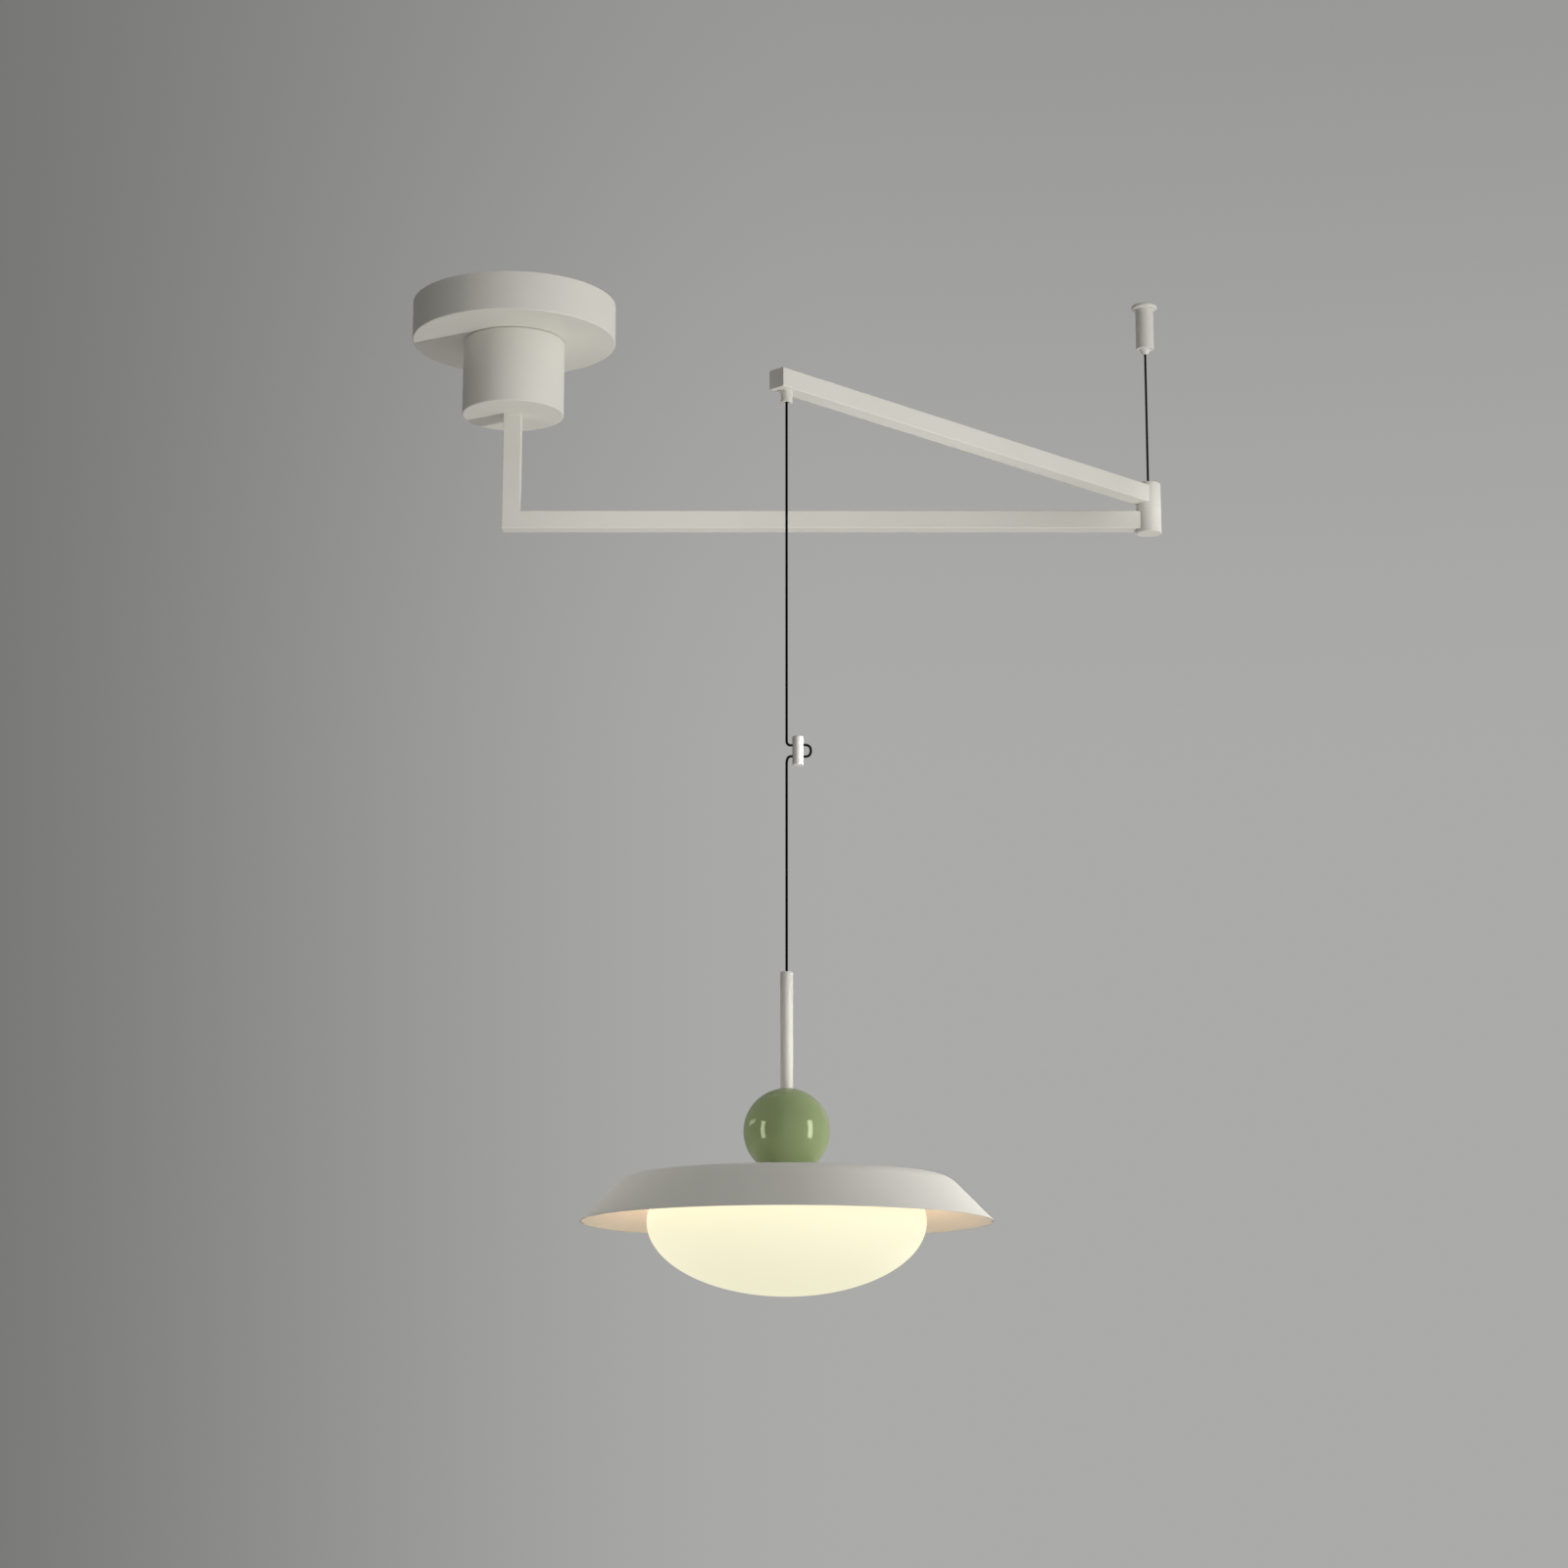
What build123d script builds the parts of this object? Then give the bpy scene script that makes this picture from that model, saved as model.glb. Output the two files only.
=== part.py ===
"""Swing arm pendant light, built piece by piece in millimetres.

The origin is the centre of the ceiling plate's top face, on the ceiling. Z points up, and the lower arm runs
along +X from the hub to the elbow. The upper arm folds back over the lower one and carries the lamp on a cord.
"""

import math
import os

from build123d import *

# Fits: a screwed or pressed pair, a turning pair, a loose pair, and the play between flat faces that slide
fixed_gap = 0.05
turning_gap = 0.08
loose_gap = 0.3
face_gap = 0.1

# Ceiling plate
plate_diameter = 150.0
plate_thickness = 3.0
plate_screw_circle = 120.0
plate_screw_count = 4
plate_screw_hole = 5.5
plate_screw_bearing = 45.0
plate_ear_width = 30.0
plate_ear_drop = 16.0
plate_boss_diameter = 34.0
plate_boss_height = 12.0
cable_entry_diameter = 14.0
cable_entry_x = 52.0

# Canopy
canopy_diameter = 231.0
canopy_height = 44.5
canopy_wall = 1.5
canopy_edge = 1.2
grub_diameter = 4.0
grub_length = 8.0
grub_socket = 2.0
grub_level = 9.0

# Driver and terminals inside the canopy
driver_length = 64.0
driver_width = 36.0
driver_height = 22.0
driver_y = 48.0
driver_corner = 3.0
driver_edge = 1.5
terminal_length = 40.0
terminal_width = 18.0
terminal_height = 15.0
terminal_y = -46.0
terminal_corner = 1.5
terminal_hole_depth = 9.0
terminal_well = 5.0
terminal_ways = 3
terminal_hole = 4.0

# Swivel between canopy and hub
shaft_diameter = 20.0
shaft_bore = 12.0
shaft_end_level = 78.0
lock_nut_flats = 30.0
lock_nut_height = 6.0
nut_chamfer = 0.5
bush_wall = 2.0
bush_flange_diameter = 31.0
bush_flange = 2.0
thrust_washer_diameter = 36.0
thrust_washer_thickness = 1.5
swivel_nut_flats = 30.0
swivel_nut_height = 10.0
stop_pin_diameter = 4.0
stop_pin_radius = 21.5
stop_pin_edge = 0.6
stop_pin_grip = 6.0
stop_arm_level = 72.0
stop_arm_reach = 24.5

# Hub
hub_diameter = 115.0
hub_height = 86.3
hub_gap = 0.5
hub_wall = 2.0
hub_floor = 4.0
hub_edge = 1.0
hub_plate_thickness = 8.0
hub_ledge_width = 10.0
hub_ledge_height = 7.0
hub_screw_count = 4
hub_screw_bearing = 45.0
hub_screw_diameter = 4.0
hub_screw_head = 8.0
hub_screw_length = 13.0

# Square tube of both arms
tube_side = 20.0
tube_wall = 1.5
tube_corner = 0.8
tube_inner_corner = 0.6
seam = 0.4

# Lower arm
lower_arm_drop = 256.0
lower_arm_length = 720.0
stem_inside_hub = 6.5
stem_flange_side = 46.0
stem_flange_thickness = 4.0
stem_flange_corner = 4.0
stem_screw_spread = 33.0
stem_screw_diameter = 4.0
stem_screw_head = 7.0
stem_screw_head_height = 2.5
stem_screw_edge = 0.8
stem_screw_grip = 3.0

# Elbow
knuckle_diameter = 28.0
knuckle_height = 28.6
knuckle_bore = 20.0
knuckle_plate = 6.0
knuckle_cap = 3.5
knuckle_edge = 0.4
elbow_washer_diameter = 27.6
elbow_washer_thickness = 0.6
elbow_rest_angle = 45.0
tenon_root = 3.0
tenon_length = 40.0
tenon_bore = 8.0
tenon_screw_diameter = 5.0
tenon_screw_length = 6.0
tenon_screw_inset = 20.0
pivot_diameter = 10.0
pivot_bore = 6.5
pivot_head_diameter = 16.0
pivot_head = 3.0
elbow_bush_wall = 1.5
elbow_bush_flange_diameter = 17.5
elbow_bush_flange = 1.0
elbow_nut_flats = 16.0
elbow_nut_height = 4.0
small_nut_chamfer = 0.4
pivot_end = 0.5

# Upper arm
upper_arm_reach = 593.5
end_cap_plate = 2.0
end_cap_plug = 8.0
end_cap_notch = 15.6
cord_inset = 14.5
gland_diameter = 11.8
gland_height = 12.5
gland_neck_diameter = 8.0
gland_neck_height = 6.0
gland_bore = 4.2
gland_throat_depth = 3.4
gland_flare = 28.0
gland_edge = 0.8
gland_nut_flats = 12.0
gland_nut_height = 3.0

# Cord, and the flex of the same make inside the arms
cord_diameter = 2.5
cord_drop = 582.7
flex_bend = 6.0
flex_play = 0.8
adjuster_diameter = 11.2
adjuster_height = 29.4
adjuster_edge = 1.2
adjuster_offset = 11.2
adjuster_level = 361.0
adjuster_hole_spacing = 11.2
adjuster_bend = 4.4
loop_straight = 0.1
lower_cord_start = 8.0

# Lamp: drop tube, ball, shade and glass
drop_tube_diameter = 12.5
drop_tube_length = 114.4
drop_tube_edge = 0.4
nipple_diameter = 10.0
nipple_bore = 6.5
nipple_grip = 25.0
nipple_end = 2.0
cord_lock_height = 16.0
cord_lock_throat = 3.0
ball_diameter = 84.0
ball_wall = 2.4
ball_foot_diameter = 18.0
ball_washer_diameter = 20.0
ball_washer_thickness = 3.1
shade_rim_diameter = 400.0
shade_corner_diameter = 314.0
shade_height = 43.6
shade_shoulder = 26.0
shade_wall = 1.5
pan_diameter = 220.0
pan_wall = 1.5
pan_depth = 10.0
lamp_washer_diameter = 24.0
lamp_washer_thickness = 1.5
lamp_nut_flats = 17.0
lamp_nut_height = 6.0
board_diameter = 180.0
board_hole = 36.0
board_thickness = 1.6
chip_side = 3.5
chip_height = 1.0
chip_ring_diameters = (60.0, 100.0, 145.0)
chip_ring_counts = (8, 14, 20)
lamp_tail_radius = 24.0
lamp_tail_drop = 8.0
glass_diameter = 270.0
glass_depth = 70.7
glass_wall = 3.0
glass_shoulder_rise = 26.0
glass_neck_diameter = 208.0
glass_neck_rise = 34.0
gallery_screw_count = 3
gallery_screw_bearing = 90.0
gallery_screw_diameter = 4.0
gallery_screw_head = 8.0
gallery_screw_head_height = 5.0
gallery_screw_level = 6.0

# Ceiling anchor and support wire above the elbow
anchor_flange_diameter = 29.0
anchor_flange = 5.0
anchor_flange_edge = 2.3
anchor_edge = 0.6
anchor_diameter = 20.4
anchor_height = 52.5
anchor_bore = 16.0
anchor_floor = 5.5
anchor_base_height = 12.0
anchor_hole = 4.5
gripper_height = 26.0
gripper_roof = 8.0
ball_bearing_diameter = 3.4
ball_bearing_count = 3
ball_bearing_level = 34.0
spring_wire = 0.6
spring_diameter = 5.6
spring_pitch = 1.1
nozzle_diameter = 12.4
nozzle_tip_diameter = 5.5
nozzle_tip_height = 6.0
nozzle_collar = 3.0
nozzle_sleeve_diameter = 8.0
nozzle_sleeve_top = 39.0
support_wire_diameter = 2.5
support_wire_top = 27.0
ferrule_diameter = 6.0
ferrule_height = 5.0
ferrule_edge = 1.0

# Levels and places that follow from the sizes above
hub_top = -(canopy_height + hub_gap)
hub_bottom = hub_top - hub_height
hub_plate_bottom = hub_top - hub_plate_thickness
hub_floor_top = hub_bottom + hub_floor
lower_arm_z = -lower_arm_drop
lower_knuckle_top = lower_arm_z + knuckle_height / 2
upper_knuckle_bottom = lower_knuckle_top + elbow_washer_thickness
upper_arm_z = upper_knuckle_bottom + knuckle_height / 2
upper_knuckle_top = upper_knuckle_bottom + knuckle_height
lower_knuckle_bottom = lower_knuckle_top - knuckle_height
cord_reach = upper_arm_reach - cord_inset
fold = math.radians(elbow_rest_angle)
upper_arm_direction = (-math.cos(fold), -math.sin(fold), 0)
lamp_x = lower_arm_length + cord_reach * upper_arm_direction[0]
lamp_y = cord_reach * upper_arm_direction[1]
upper_tube_bottom = upper_arm_z - tube_side / 2
gland_mouth = upper_tube_bottom - gland_height
cord_top = gland_mouth + gland_throat_depth
drop_tube_top = gland_mouth - cord_drop
cord_bottom = drop_tube_top - cord_lock_throat
ball_radius = ball_diameter / 2
ball_crown = math.sqrt(ball_radius**2 - (drop_tube_diameter / 2) ** 2)
ball_foot = math.sqrt(ball_radius**2 - (ball_foot_diameter / 2) ** 2)
ball_z = drop_tube_top - drop_tube_length - ball_crown
shade_top = ball_z - ball_foot - ball_washer_thickness
shade_rim = shade_top - shade_height
pan_top = shade_top - shade_wall
pan_bottom = pan_top - pan_wall
board_bottom = pan_bottom - board_thickness
glass_equator = shade_rim
cord_hole = cord_diameter + 2 * loose_gap
tube_inner = tube_side - 2 * tube_wall
tenon_side = tube_inner - 2 * fixed_gap


# Horizontal planes centred on the three upright axes of the lamp

def at_hub(z):
    return Plane((0, 0, z))


def at_elbow(z):
    return Plane((lower_arm_length, 0, z))


def at_lamp(z):
    return Plane((lamp_x, lamp_y, z))


def lamp_section():
    return Plane((lamp_x, lamp_y, 0), x_dir=(1, 0, 0), z_dir=(0, -1, 0))


def lamp_axis():
    return Axis((lamp_x, lamp_y, 0), (0, 0, 1))


# Across the upper arm, a given distance from the elbow axis, looking along the arm

def across_upper_arm(distance):
    start = Vector(lower_arm_length, 0, upper_arm_z) + Vector(*upper_arm_direction) * distance
    return Plane(start, x_dir=(-upper_arm_direction[1], upper_arm_direction[0], 0), z_dir=upper_arm_direction)


def across_lower_arm(x):
    return Plane((x, 0, lower_arm_z), x_dir=(0, 1, 0), z_dir=(1, 0, 0))


# Shapes that many pieces share, each added to the piece being built

def ring(plane, diameter, height, bore=0.0, mode=Mode.ADD):
    with BuildSketch(plane) as face:
        Circle(diameter / 2)
        if bore:
            Circle(bore / 2, mode=Mode.SUBTRACT)
    extrude(face.sketch, amount=height, mode=mode)


def hexagon(plane, across_flats, height, bore=0.0, mode=Mode.ADD):
    with BuildSketch(plane) as face:
        RegularPolygon(across_flats / 2, 6, major_radius=False)
        if bore:
            Circle(bore / 2, mode=Mode.SUBTRACT)
    extrude(face.sketch, amount=height, mode=mode)


def block(plane, length, width, height, corner, mode=Mode.ADD):
    with BuildSketch(plane) as face:
        RectangleRounded(length, width, corner)
    extrude(face.sketch, amount=height, mode=mode)


def square_tube(plane, length):
    with BuildSketch(plane) as face:
        RectangleRounded(tube_side, tube_side, tube_corner)
        RectangleRounded(tube_inner, tube_inner, tube_inner_corner, mode=Mode.SUBTRACT)
    extrude(face.sketch, amount=length)


def turned(section, axis, *corners):
    with BuildSketch(section) as face:
        with BuildLine():
            Polyline(*corners, close=True)
        make_face()
    revolve(face.sketch, axis=axis)


# A round cord along straight runs and tangent bends, with a print of its bends and a check of its volume

def cord(label, diameter, points, bends):
    with BuildPart() as run:
        with BuildLine() as route:
            if bends:
                FilletPolyline(*points, radius=bends)
            else:
                Line(*points)
        with BuildSketch(Plane(points[0], z_dir=Vector(*points[1]) - Vector(*points[0]))):
            Circle(diameter / 2)
        sweep()
    length = sum(edge.length for edge in route.edges())
    ideal = length * math.pi * diameter**2 / 4
    print(label, "bends", bends, "length", round(length, 2), "volume ratio", round(run.part.volume / ideal, 5))
    return run.part


os.makedirs("parts", exist_ok=True)


def keep(label, piece):
    piece.label = label
    export_step(piece, "parts/" + label + ".step")


# Ceiling plate: a round steel plate with a threaded boss for the shaft and two turned-down ears for the canopy
ear_reach = math.sqrt((canopy_diameter / 2 - canopy_wall - loose_gap) ** 2 - (plate_ear_width / 2) ** 2)
with BuildPart() as ceiling_plate:
    with BuildSketch(at_hub(0)):
        Circle(plate_diameter / 2)
        Rectangle(2 * ear_reach, plate_ear_width)
        with PolarLocations(plate_screw_circle / 2, plate_screw_count, start_angle=plate_screw_bearing):
            Circle(plate_screw_hole / 2, mode=Mode.SUBTRACT)
        with Locations((cable_entry_x, 0)):
            Circle(cable_entry_diameter / 2, mode=Mode.SUBTRACT)
    extrude(amount=-plate_thickness)
    with BuildSketch(at_hub(-plate_thickness)):
        with Locations((ear_reach - plate_thickness / 2, 0), (plate_thickness / 2 - ear_reach, 0)):
            Rectangle(plate_thickness, plate_ear_width)
    extrude(amount=plate_thickness - plate_ear_drop)
    ring(at_hub(-plate_thickness), plate_boss_diameter, -plate_boss_height)
    ring(at_hub(0), shaft_diameter + 2 * fixed_gap, -plate_thickness - plate_boss_height, mode=Mode.SUBTRACT)
    with BuildSketch(Plane((0, 0, -grub_level), x_dir=(0, 1, 0), z_dir=(1, 0, 0))):
        Circle(grub_diameter / 2 + fixed_gap)
    extrude(amount=ear_reach + plate_thickness, both=True, mode=Mode.SUBTRACT)
keep("ceiling_plate", ceiling_plate.part)

# Canopy: a spun steel cup that covers the plate, held by a grub screw at each side
with BuildPart() as canopy:
    ring(at_hub(0), canopy_diameter, -canopy_height)
    fillet(canopy.edges().group_by(Axis.Z)[0], canopy_edge)
    ring(at_hub(0), canopy_diameter - 2 * canopy_wall, canopy_wall - canopy_height, mode=Mode.SUBTRACT)
    ring(at_hub(0), shaft_diameter + 2 * loose_gap, -canopy_height, mode=Mode.SUBTRACT)
    with BuildSketch(Plane((0, 0, -grub_level), x_dir=(0, 1, 0), z_dir=(1, 0, 0))):
        Circle(grub_diameter / 2 + fixed_gap)
    extrude(amount=canopy_diameter, both=True, mode=Mode.SUBTRACT)
keep("canopy", canopy.part)

# Canopy grub screws: headless socket screws, sunk level with the canopy's side
with BuildPart() as canopy_grub_screws:
    for side in (1, -1):
        outer_end = side * (canopy_diameter / 2 - loose_gap)
        grub_plane = Plane((outer_end, 0, -grub_level), x_dir=(0, 1, 0), z_dir=(-side, 0, 0))
        ring(grub_plane, grub_diameter, grub_length)
        hexagon(grub_plane, grub_socket, grub_socket, mode=Mode.SUBTRACT)
keep("canopy_grub_screws", canopy_grub_screws.part)

# LED driver: a plastic case under the plate, with rounded corners and a row of lead holes at each end
with BuildPart() as led_driver:
    block(Plane((0, driver_y, -plate_thickness)), driver_length, driver_width, -driver_height, driver_corner)
    fillet(led_driver.edges().group_by(Axis.Z)[0], driver_edge)
    lead_z = -plate_thickness - driver_height / 2
    with BuildSketch(Plane((0, driver_y, lead_z), x_dir=(0, 1, 0), z_dir=(1, 0, 0))):
        with GridLocations(driver_width / 3, 0, 2, 1):
            Circle(terminal_hole / 2)
    extrude(amount=driver_length, both=True, mode=Mode.SUBTRACT)
keep("led_driver", led_driver.part)

# Terminal block: a moulded strip with one through hole for each way and a screw well above it
with BuildPart() as terminal_block:
    terminal_seat = Plane((0, terminal_y, -plate_thickness))
    block(terminal_seat, terminal_length, terminal_width, -terminal_height, terminal_corner)
    way_pitch = terminal_length / terminal_ways
    with BuildSketch(Plane((0, terminal_y, -plate_thickness - terminal_hole_depth), z_dir=(0, -1, 0))):
        with GridLocations(way_pitch, 0, terminal_ways, 1):
            Circle(terminal_hole / 2)
    extrude(amount=terminal_width, both=True, mode=Mode.SUBTRACT)
    with BuildSketch(Plane((0, terminal_y, -plate_thickness - terminal_height))):
        with GridLocations(way_pitch, 0, terminal_ways, 1):
            Circle(terminal_hole / 2)
    extrude(amount=terminal_well, mode=Mode.SUBTRACT)
keep("terminal_block", terminal_block.part)

# Pivot shaft: a hollow steel tube, threaded at both ends, that the arm hangs from and the flex runs through
shaft_top = -2 * loose_gap
with BuildPart() as pivot_shaft:
    ring(at_hub(shaft_top), shaft_diameter, -shaft_end_level - shaft_top, shaft_bore)
    with BuildSketch(Plane((0, 0, -stop_arm_level), x_dir=(0, 1, 0), z_dir=(-1, 0, 0))):
        Circle(stop_pin_diameter / 2 + fixed_gap)
    extrude(amount=shaft_diameter, mode=Mode.SUBTRACT)
keep("pivot_shaft", pivot_shaft.part)

# Shaft lock nut: jams the shaft in the plate's boss
boss_bottom = -plate_thickness - plate_boss_height
with BuildPart() as shaft_lock_nut:
    hexagon(at_hub(boss_bottom), lock_nut_flats, -lock_nut_height, shaft_diameter + 2 * fixed_gap)
    chamfer(shaft_lock_nut.edges().filter_by(GeomType.CIRCLE), nut_chamfer)
keep("shaft_lock_nut", shaft_lock_nut.part)

# Hub shell: a deep spun cup with a ledge near its mouth and a square hole in its floor for the stem
with BuildPart() as hub_shell:
    ring(at_hub(hub_top), hub_diameter, -hub_height)
    fillet(hub_shell.edges().group_by(Axis.Z)[0], hub_edge)
    hub_inner = hub_diameter - 2 * hub_wall
    hub_screw_radius = (hub_inner - hub_ledge_width) / 2
    ring(at_hub(hub_top), hub_inner, -hub_plate_thickness, mode=Mode.SUBTRACT)
    ring(at_hub(hub_plate_bottom), hub_inner - 2 * hub_ledge_width, -hub_ledge_height, mode=Mode.SUBTRACT)
    ledge_bottom = hub_plate_bottom - hub_ledge_height
    ring(at_hub(ledge_bottom), hub_inner, hub_floor_top - ledge_bottom, mode=Mode.SUBTRACT)
    hole_side = tube_side + 2 * fixed_gap
    block(at_hub(hub_bottom), hole_side, hole_side, hub_floor, tube_corner, mode=Mode.SUBTRACT)
    with BuildSketch(at_hub(hub_plate_bottom)):
        with PolarLocations(hub_screw_radius, hub_screw_count, start_angle=hub_screw_bearing):
            Circle(hub_screw_diameter / 2 + fixed_gap)
    extrude(amount=-hub_ledge_height, mode=Mode.SUBTRACT)
    with BuildSketch(at_hub(hub_floor_top)):
        with GridLocations(stem_screw_spread, stem_screw_spread, 2, 2):
            Circle(stem_screw_diameter / 2 + fixed_gap)
    extrude(amount=-stem_screw_grip, mode=Mode.SUBTRACT)
keep("hub_shell", hub_shell.part)

# Hub top plate: the thick disc that the bush sits in, screwed down on the ledge
bush_outer = shaft_diameter + 2 * turning_gap + 2 * bush_wall
with BuildPart() as hub_top_plate:
    ring(at_hub(hub_top), hub_inner - 2 * fixed_gap, -hub_plate_thickness, bush_outer + 2 * fixed_gap)
    with Locations(at_hub(hub_top)):
        with PolarLocations(hub_screw_radius, hub_screw_count, start_angle=hub_screw_bearing):
            CounterSinkHole(hub_screw_diameter / 2 + fixed_gap, hub_screw_head / 2 + fixed_gap)
    with BuildSketch(at_hub(hub_plate_bottom)):
        with Locations((stop_pin_radius, 0)):
            Circle(stop_pin_diameter / 2 + fixed_gap)
    extrude(amount=stop_pin_grip, mode=Mode.SUBTRACT)
keep("hub_top_plate", hub_top_plate.part)

# Hub plate screws: flat-head screws down through the plate into the ledge
head_depth = (hub_screw_head - hub_screw_diameter) / 2
with BuildPart() as hub_plate_screws:
    with BuildSketch(at_hub(hub_top - fixed_gap)):
        with PolarLocations(hub_screw_radius, hub_screw_count, start_angle=hub_screw_bearing):
            Circle(hub_screw_diameter / 2)
    extrude(amount=-hub_screw_length)
    with Locations(at_hub(hub_top - fixed_gap - head_depth / 2)):
        with PolarLocations(hub_screw_radius, hub_screw_count, start_angle=hub_screw_bearing):
            Cone(hub_screw_diameter / 2, hub_screw_head / 2, head_depth)
keep("hub_plate_screws", hub_plate_screws.part)

# Swivel bush: a flanged sleeve pressed up into the hub plate, turning on the shaft
bush_bore = shaft_diameter + 2 * turning_gap
with BuildPart() as swivel_bush:
    ring(at_hub(hub_top), bush_outer, -hub_plate_thickness, bush_bore)
    ring(at_hub(hub_plate_bottom), bush_flange_diameter, -bush_flange, bush_bore)
keep("swivel_bush", swivel_bush.part)

# Thrust washer and swivel nut: the hub's weight rests on the washer, which the nut holds up
washer_top = hub_plate_bottom - bush_flange - face_gap
with BuildPart() as thrust_washer:
    ring(at_hub(washer_top), thrust_washer_diameter, -thrust_washer_thickness, shaft_diameter + 2 * fixed_gap)
keep("thrust_washer", thrust_washer.part)

nut_top = washer_top - thrust_washer_thickness
with BuildPart() as swivel_nut:
    hexagon(at_hub(nut_top), swivel_nut_flats, -swivel_nut_height, shaft_diameter + 2 * fixed_gap)
    chamfer(swivel_nut.edges().filter_by(GeomType.CIRCLE), nut_chamfer)
keep("swivel_nut", swivel_nut.part)

# Stop arm and stop pin: a cross pin in the shaft meets an upright pin in the hub before the flex can wind up
with BuildPart() as stop_arm:
    stop_plane = Plane((-shaft_bore / 2, 0, -stop_arm_level), x_dir=(0, 1, 0), z_dir=(-1, 0, 0))
    ring(stop_plane, stop_pin_diameter, stop_arm_reach - shaft_bore / 2)
    fillet(stop_arm.edges().group_by(Axis.X)[0], stop_pin_edge)
keep("stop_arm", stop_arm.part)

stop_pin_top = hub_plate_bottom + stop_pin_grip
stop_pin_bottom = -stop_arm_level - stop_pin_diameter
with BuildPart() as stop_pin:
    ring(Plane((stop_pin_radius, 0, stop_pin_top)), stop_pin_diameter, stop_pin_bottom - stop_pin_top)
    fillet(stop_pin.edges().group_by(Axis.Z)[0], stop_pin_edge)
keep("stop_pin", stop_pin.part)

# Stem tube and lower arm tube: square tube mitred and welded at the corner under the hub
stem_top = hub_floor_top + stem_inside_hub
with BuildPart() as stem_tube:
    square_tube(at_hub(lower_arm_z - tube_side), stem_top - lower_arm_z + tube_side)
    split(bisect_by=Plane((0, 0, lower_arm_z), x_dir=(0, 1, 0), z_dir=(-1, 0, 1)), keep=Keep.TOP)
keep("stem_tube", stem_tube.part)

with BuildPart() as lower_arm_tube:
    square_tube(across_lower_arm(-tube_side), lower_arm_length + tube_side)
    split(bisect_by=Plane((0, 0, lower_arm_z), x_dir=(0, 1, 0), z_dir=(1, 0, -1)), keep=Keep.TOP)
    ring(at_elbow(lower_knuckle_bottom), knuckle_diameter + 2 * seam, knuckle_height, mode=Mode.SUBTRACT)
    screw_x = lower_arm_length - knuckle_diameter / 2 - tenon_screw_inset
    with BuildSketch(Plane((screw_x, 0, lower_arm_z))):
        Circle(tenon_screw_diameter / 2 + fixed_gap)
    extrude(amount=tube_side, mode=Mode.SUBTRACT)
keep("lower_arm_tube", lower_arm_tube.part)

# Stem flange: a square collar welded round the stem's top, screwed to the hub floor from inside
with BuildPart() as stem_flange:
    with BuildSketch(at_hub(hub_floor_top)):
        RectangleRounded(stem_flange_side, stem_flange_side, stem_flange_corner)
        RectangleRounded(hole_side, hole_side, tube_corner, mode=Mode.SUBTRACT)
        with GridLocations(stem_screw_spread, stem_screw_spread, 2, 2):
            Circle(stem_screw_diameter / 2 + fixed_gap, mode=Mode.SUBTRACT)
    extrude(amount=stem_flange_thickness)
keep("stem_flange", stem_flange.part)

with BuildPart() as stem_flange_screws:
    flange_top = hub_floor_top + stem_flange_thickness
    stem_screw_bottom = hub_floor_top - stem_screw_grip + fixed_gap
    with BuildSketch(at_hub(stem_screw_bottom)):
        with GridLocations(stem_screw_spread, stem_screw_spread, 2, 2):
            Circle(stem_screw_diameter / 2)
    extrude(amount=flange_top - stem_screw_bottom)
    with BuildSketch(at_hub(flange_top)):
        with GridLocations(stem_screw_spread, stem_screw_spread, 2, 2):
            Circle(stem_screw_head / 2)
    extrude(amount=stem_screw_head_height)
    fillet(stem_flange_screws.edges().group_by(Axis.Z)[-1], stem_screw_edge)
keep("stem_flange_screws", stem_flange_screws.part)


# Knuckles: one casting used twice, mouth outwards, with a square tenon that slides into the arm tube

def knuckle(face, pivot_hole):
    with BuildPart() as casting:
        ring(face, knuckle_diameter, knuckle_height)
        fillet(casting.edges().filter_by(GeomType.CIRCLE), knuckle_edge)
        tenon_start = face.from_local_coords((knuckle_diameter / 2 - tenon_root, 0, knuckle_height / 2))
        with BuildSketch(Plane(tenon_start, face.y_dir, face.x_dir)):
            RectangleRounded(tenon_side, tenon_side, tube_inner_corner)
        extrude(amount=tenon_root + tenon_length)
        ring(face.offset(knuckle_plate), knuckle_bore, knuckle_height - knuckle_plate, mode=Mode.SUBTRACT)
        ring(face, pivot_hole, knuckle_plate, mode=Mode.SUBTRACT)
        knuckle_middle = face.from_local_coords((0, 0, knuckle_height / 2))
        with BuildSketch(Plane(knuckle_middle, face.y_dir, face.x_dir)):
            Circle(tenon_bore / 2)
        extrude(amount=knuckle_diameter + tenon_length, mode=Mode.SUBTRACT)
        screw_reach = knuckle_diameter / 2 + tenon_screw_inset
        screw_middle = face.from_local_coords((screw_reach, 0, knuckle_height / 2))
        with BuildSketch(Plane(screw_middle, face.x_dir, (0, 0, 1))):
            Circle(tenon_screw_diameter / 2 + fixed_gap)
        extrude(amount=tube_side, mode=Mode.SUBTRACT)
    return casting.part


lower_face = Plane((lower_arm_length, 0, lower_knuckle_top), x_dir=(-1, 0, 0), z_dir=(0, 0, -1))
upper_face = Plane((lower_arm_length, 0, upper_knuckle_bottom), x_dir=upper_arm_direction, z_dir=(0, 0, 1))
elbow_bush_outer = pivot_diameter + 2 * turning_gap + 2 * elbow_bush_wall
keep("lower_knuckle", knuckle(lower_face, pivot_diameter + 2 * fixed_gap))
keep("upper_knuckle", knuckle(upper_face, elbow_bush_outer + 2 * fixed_gap))

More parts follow.
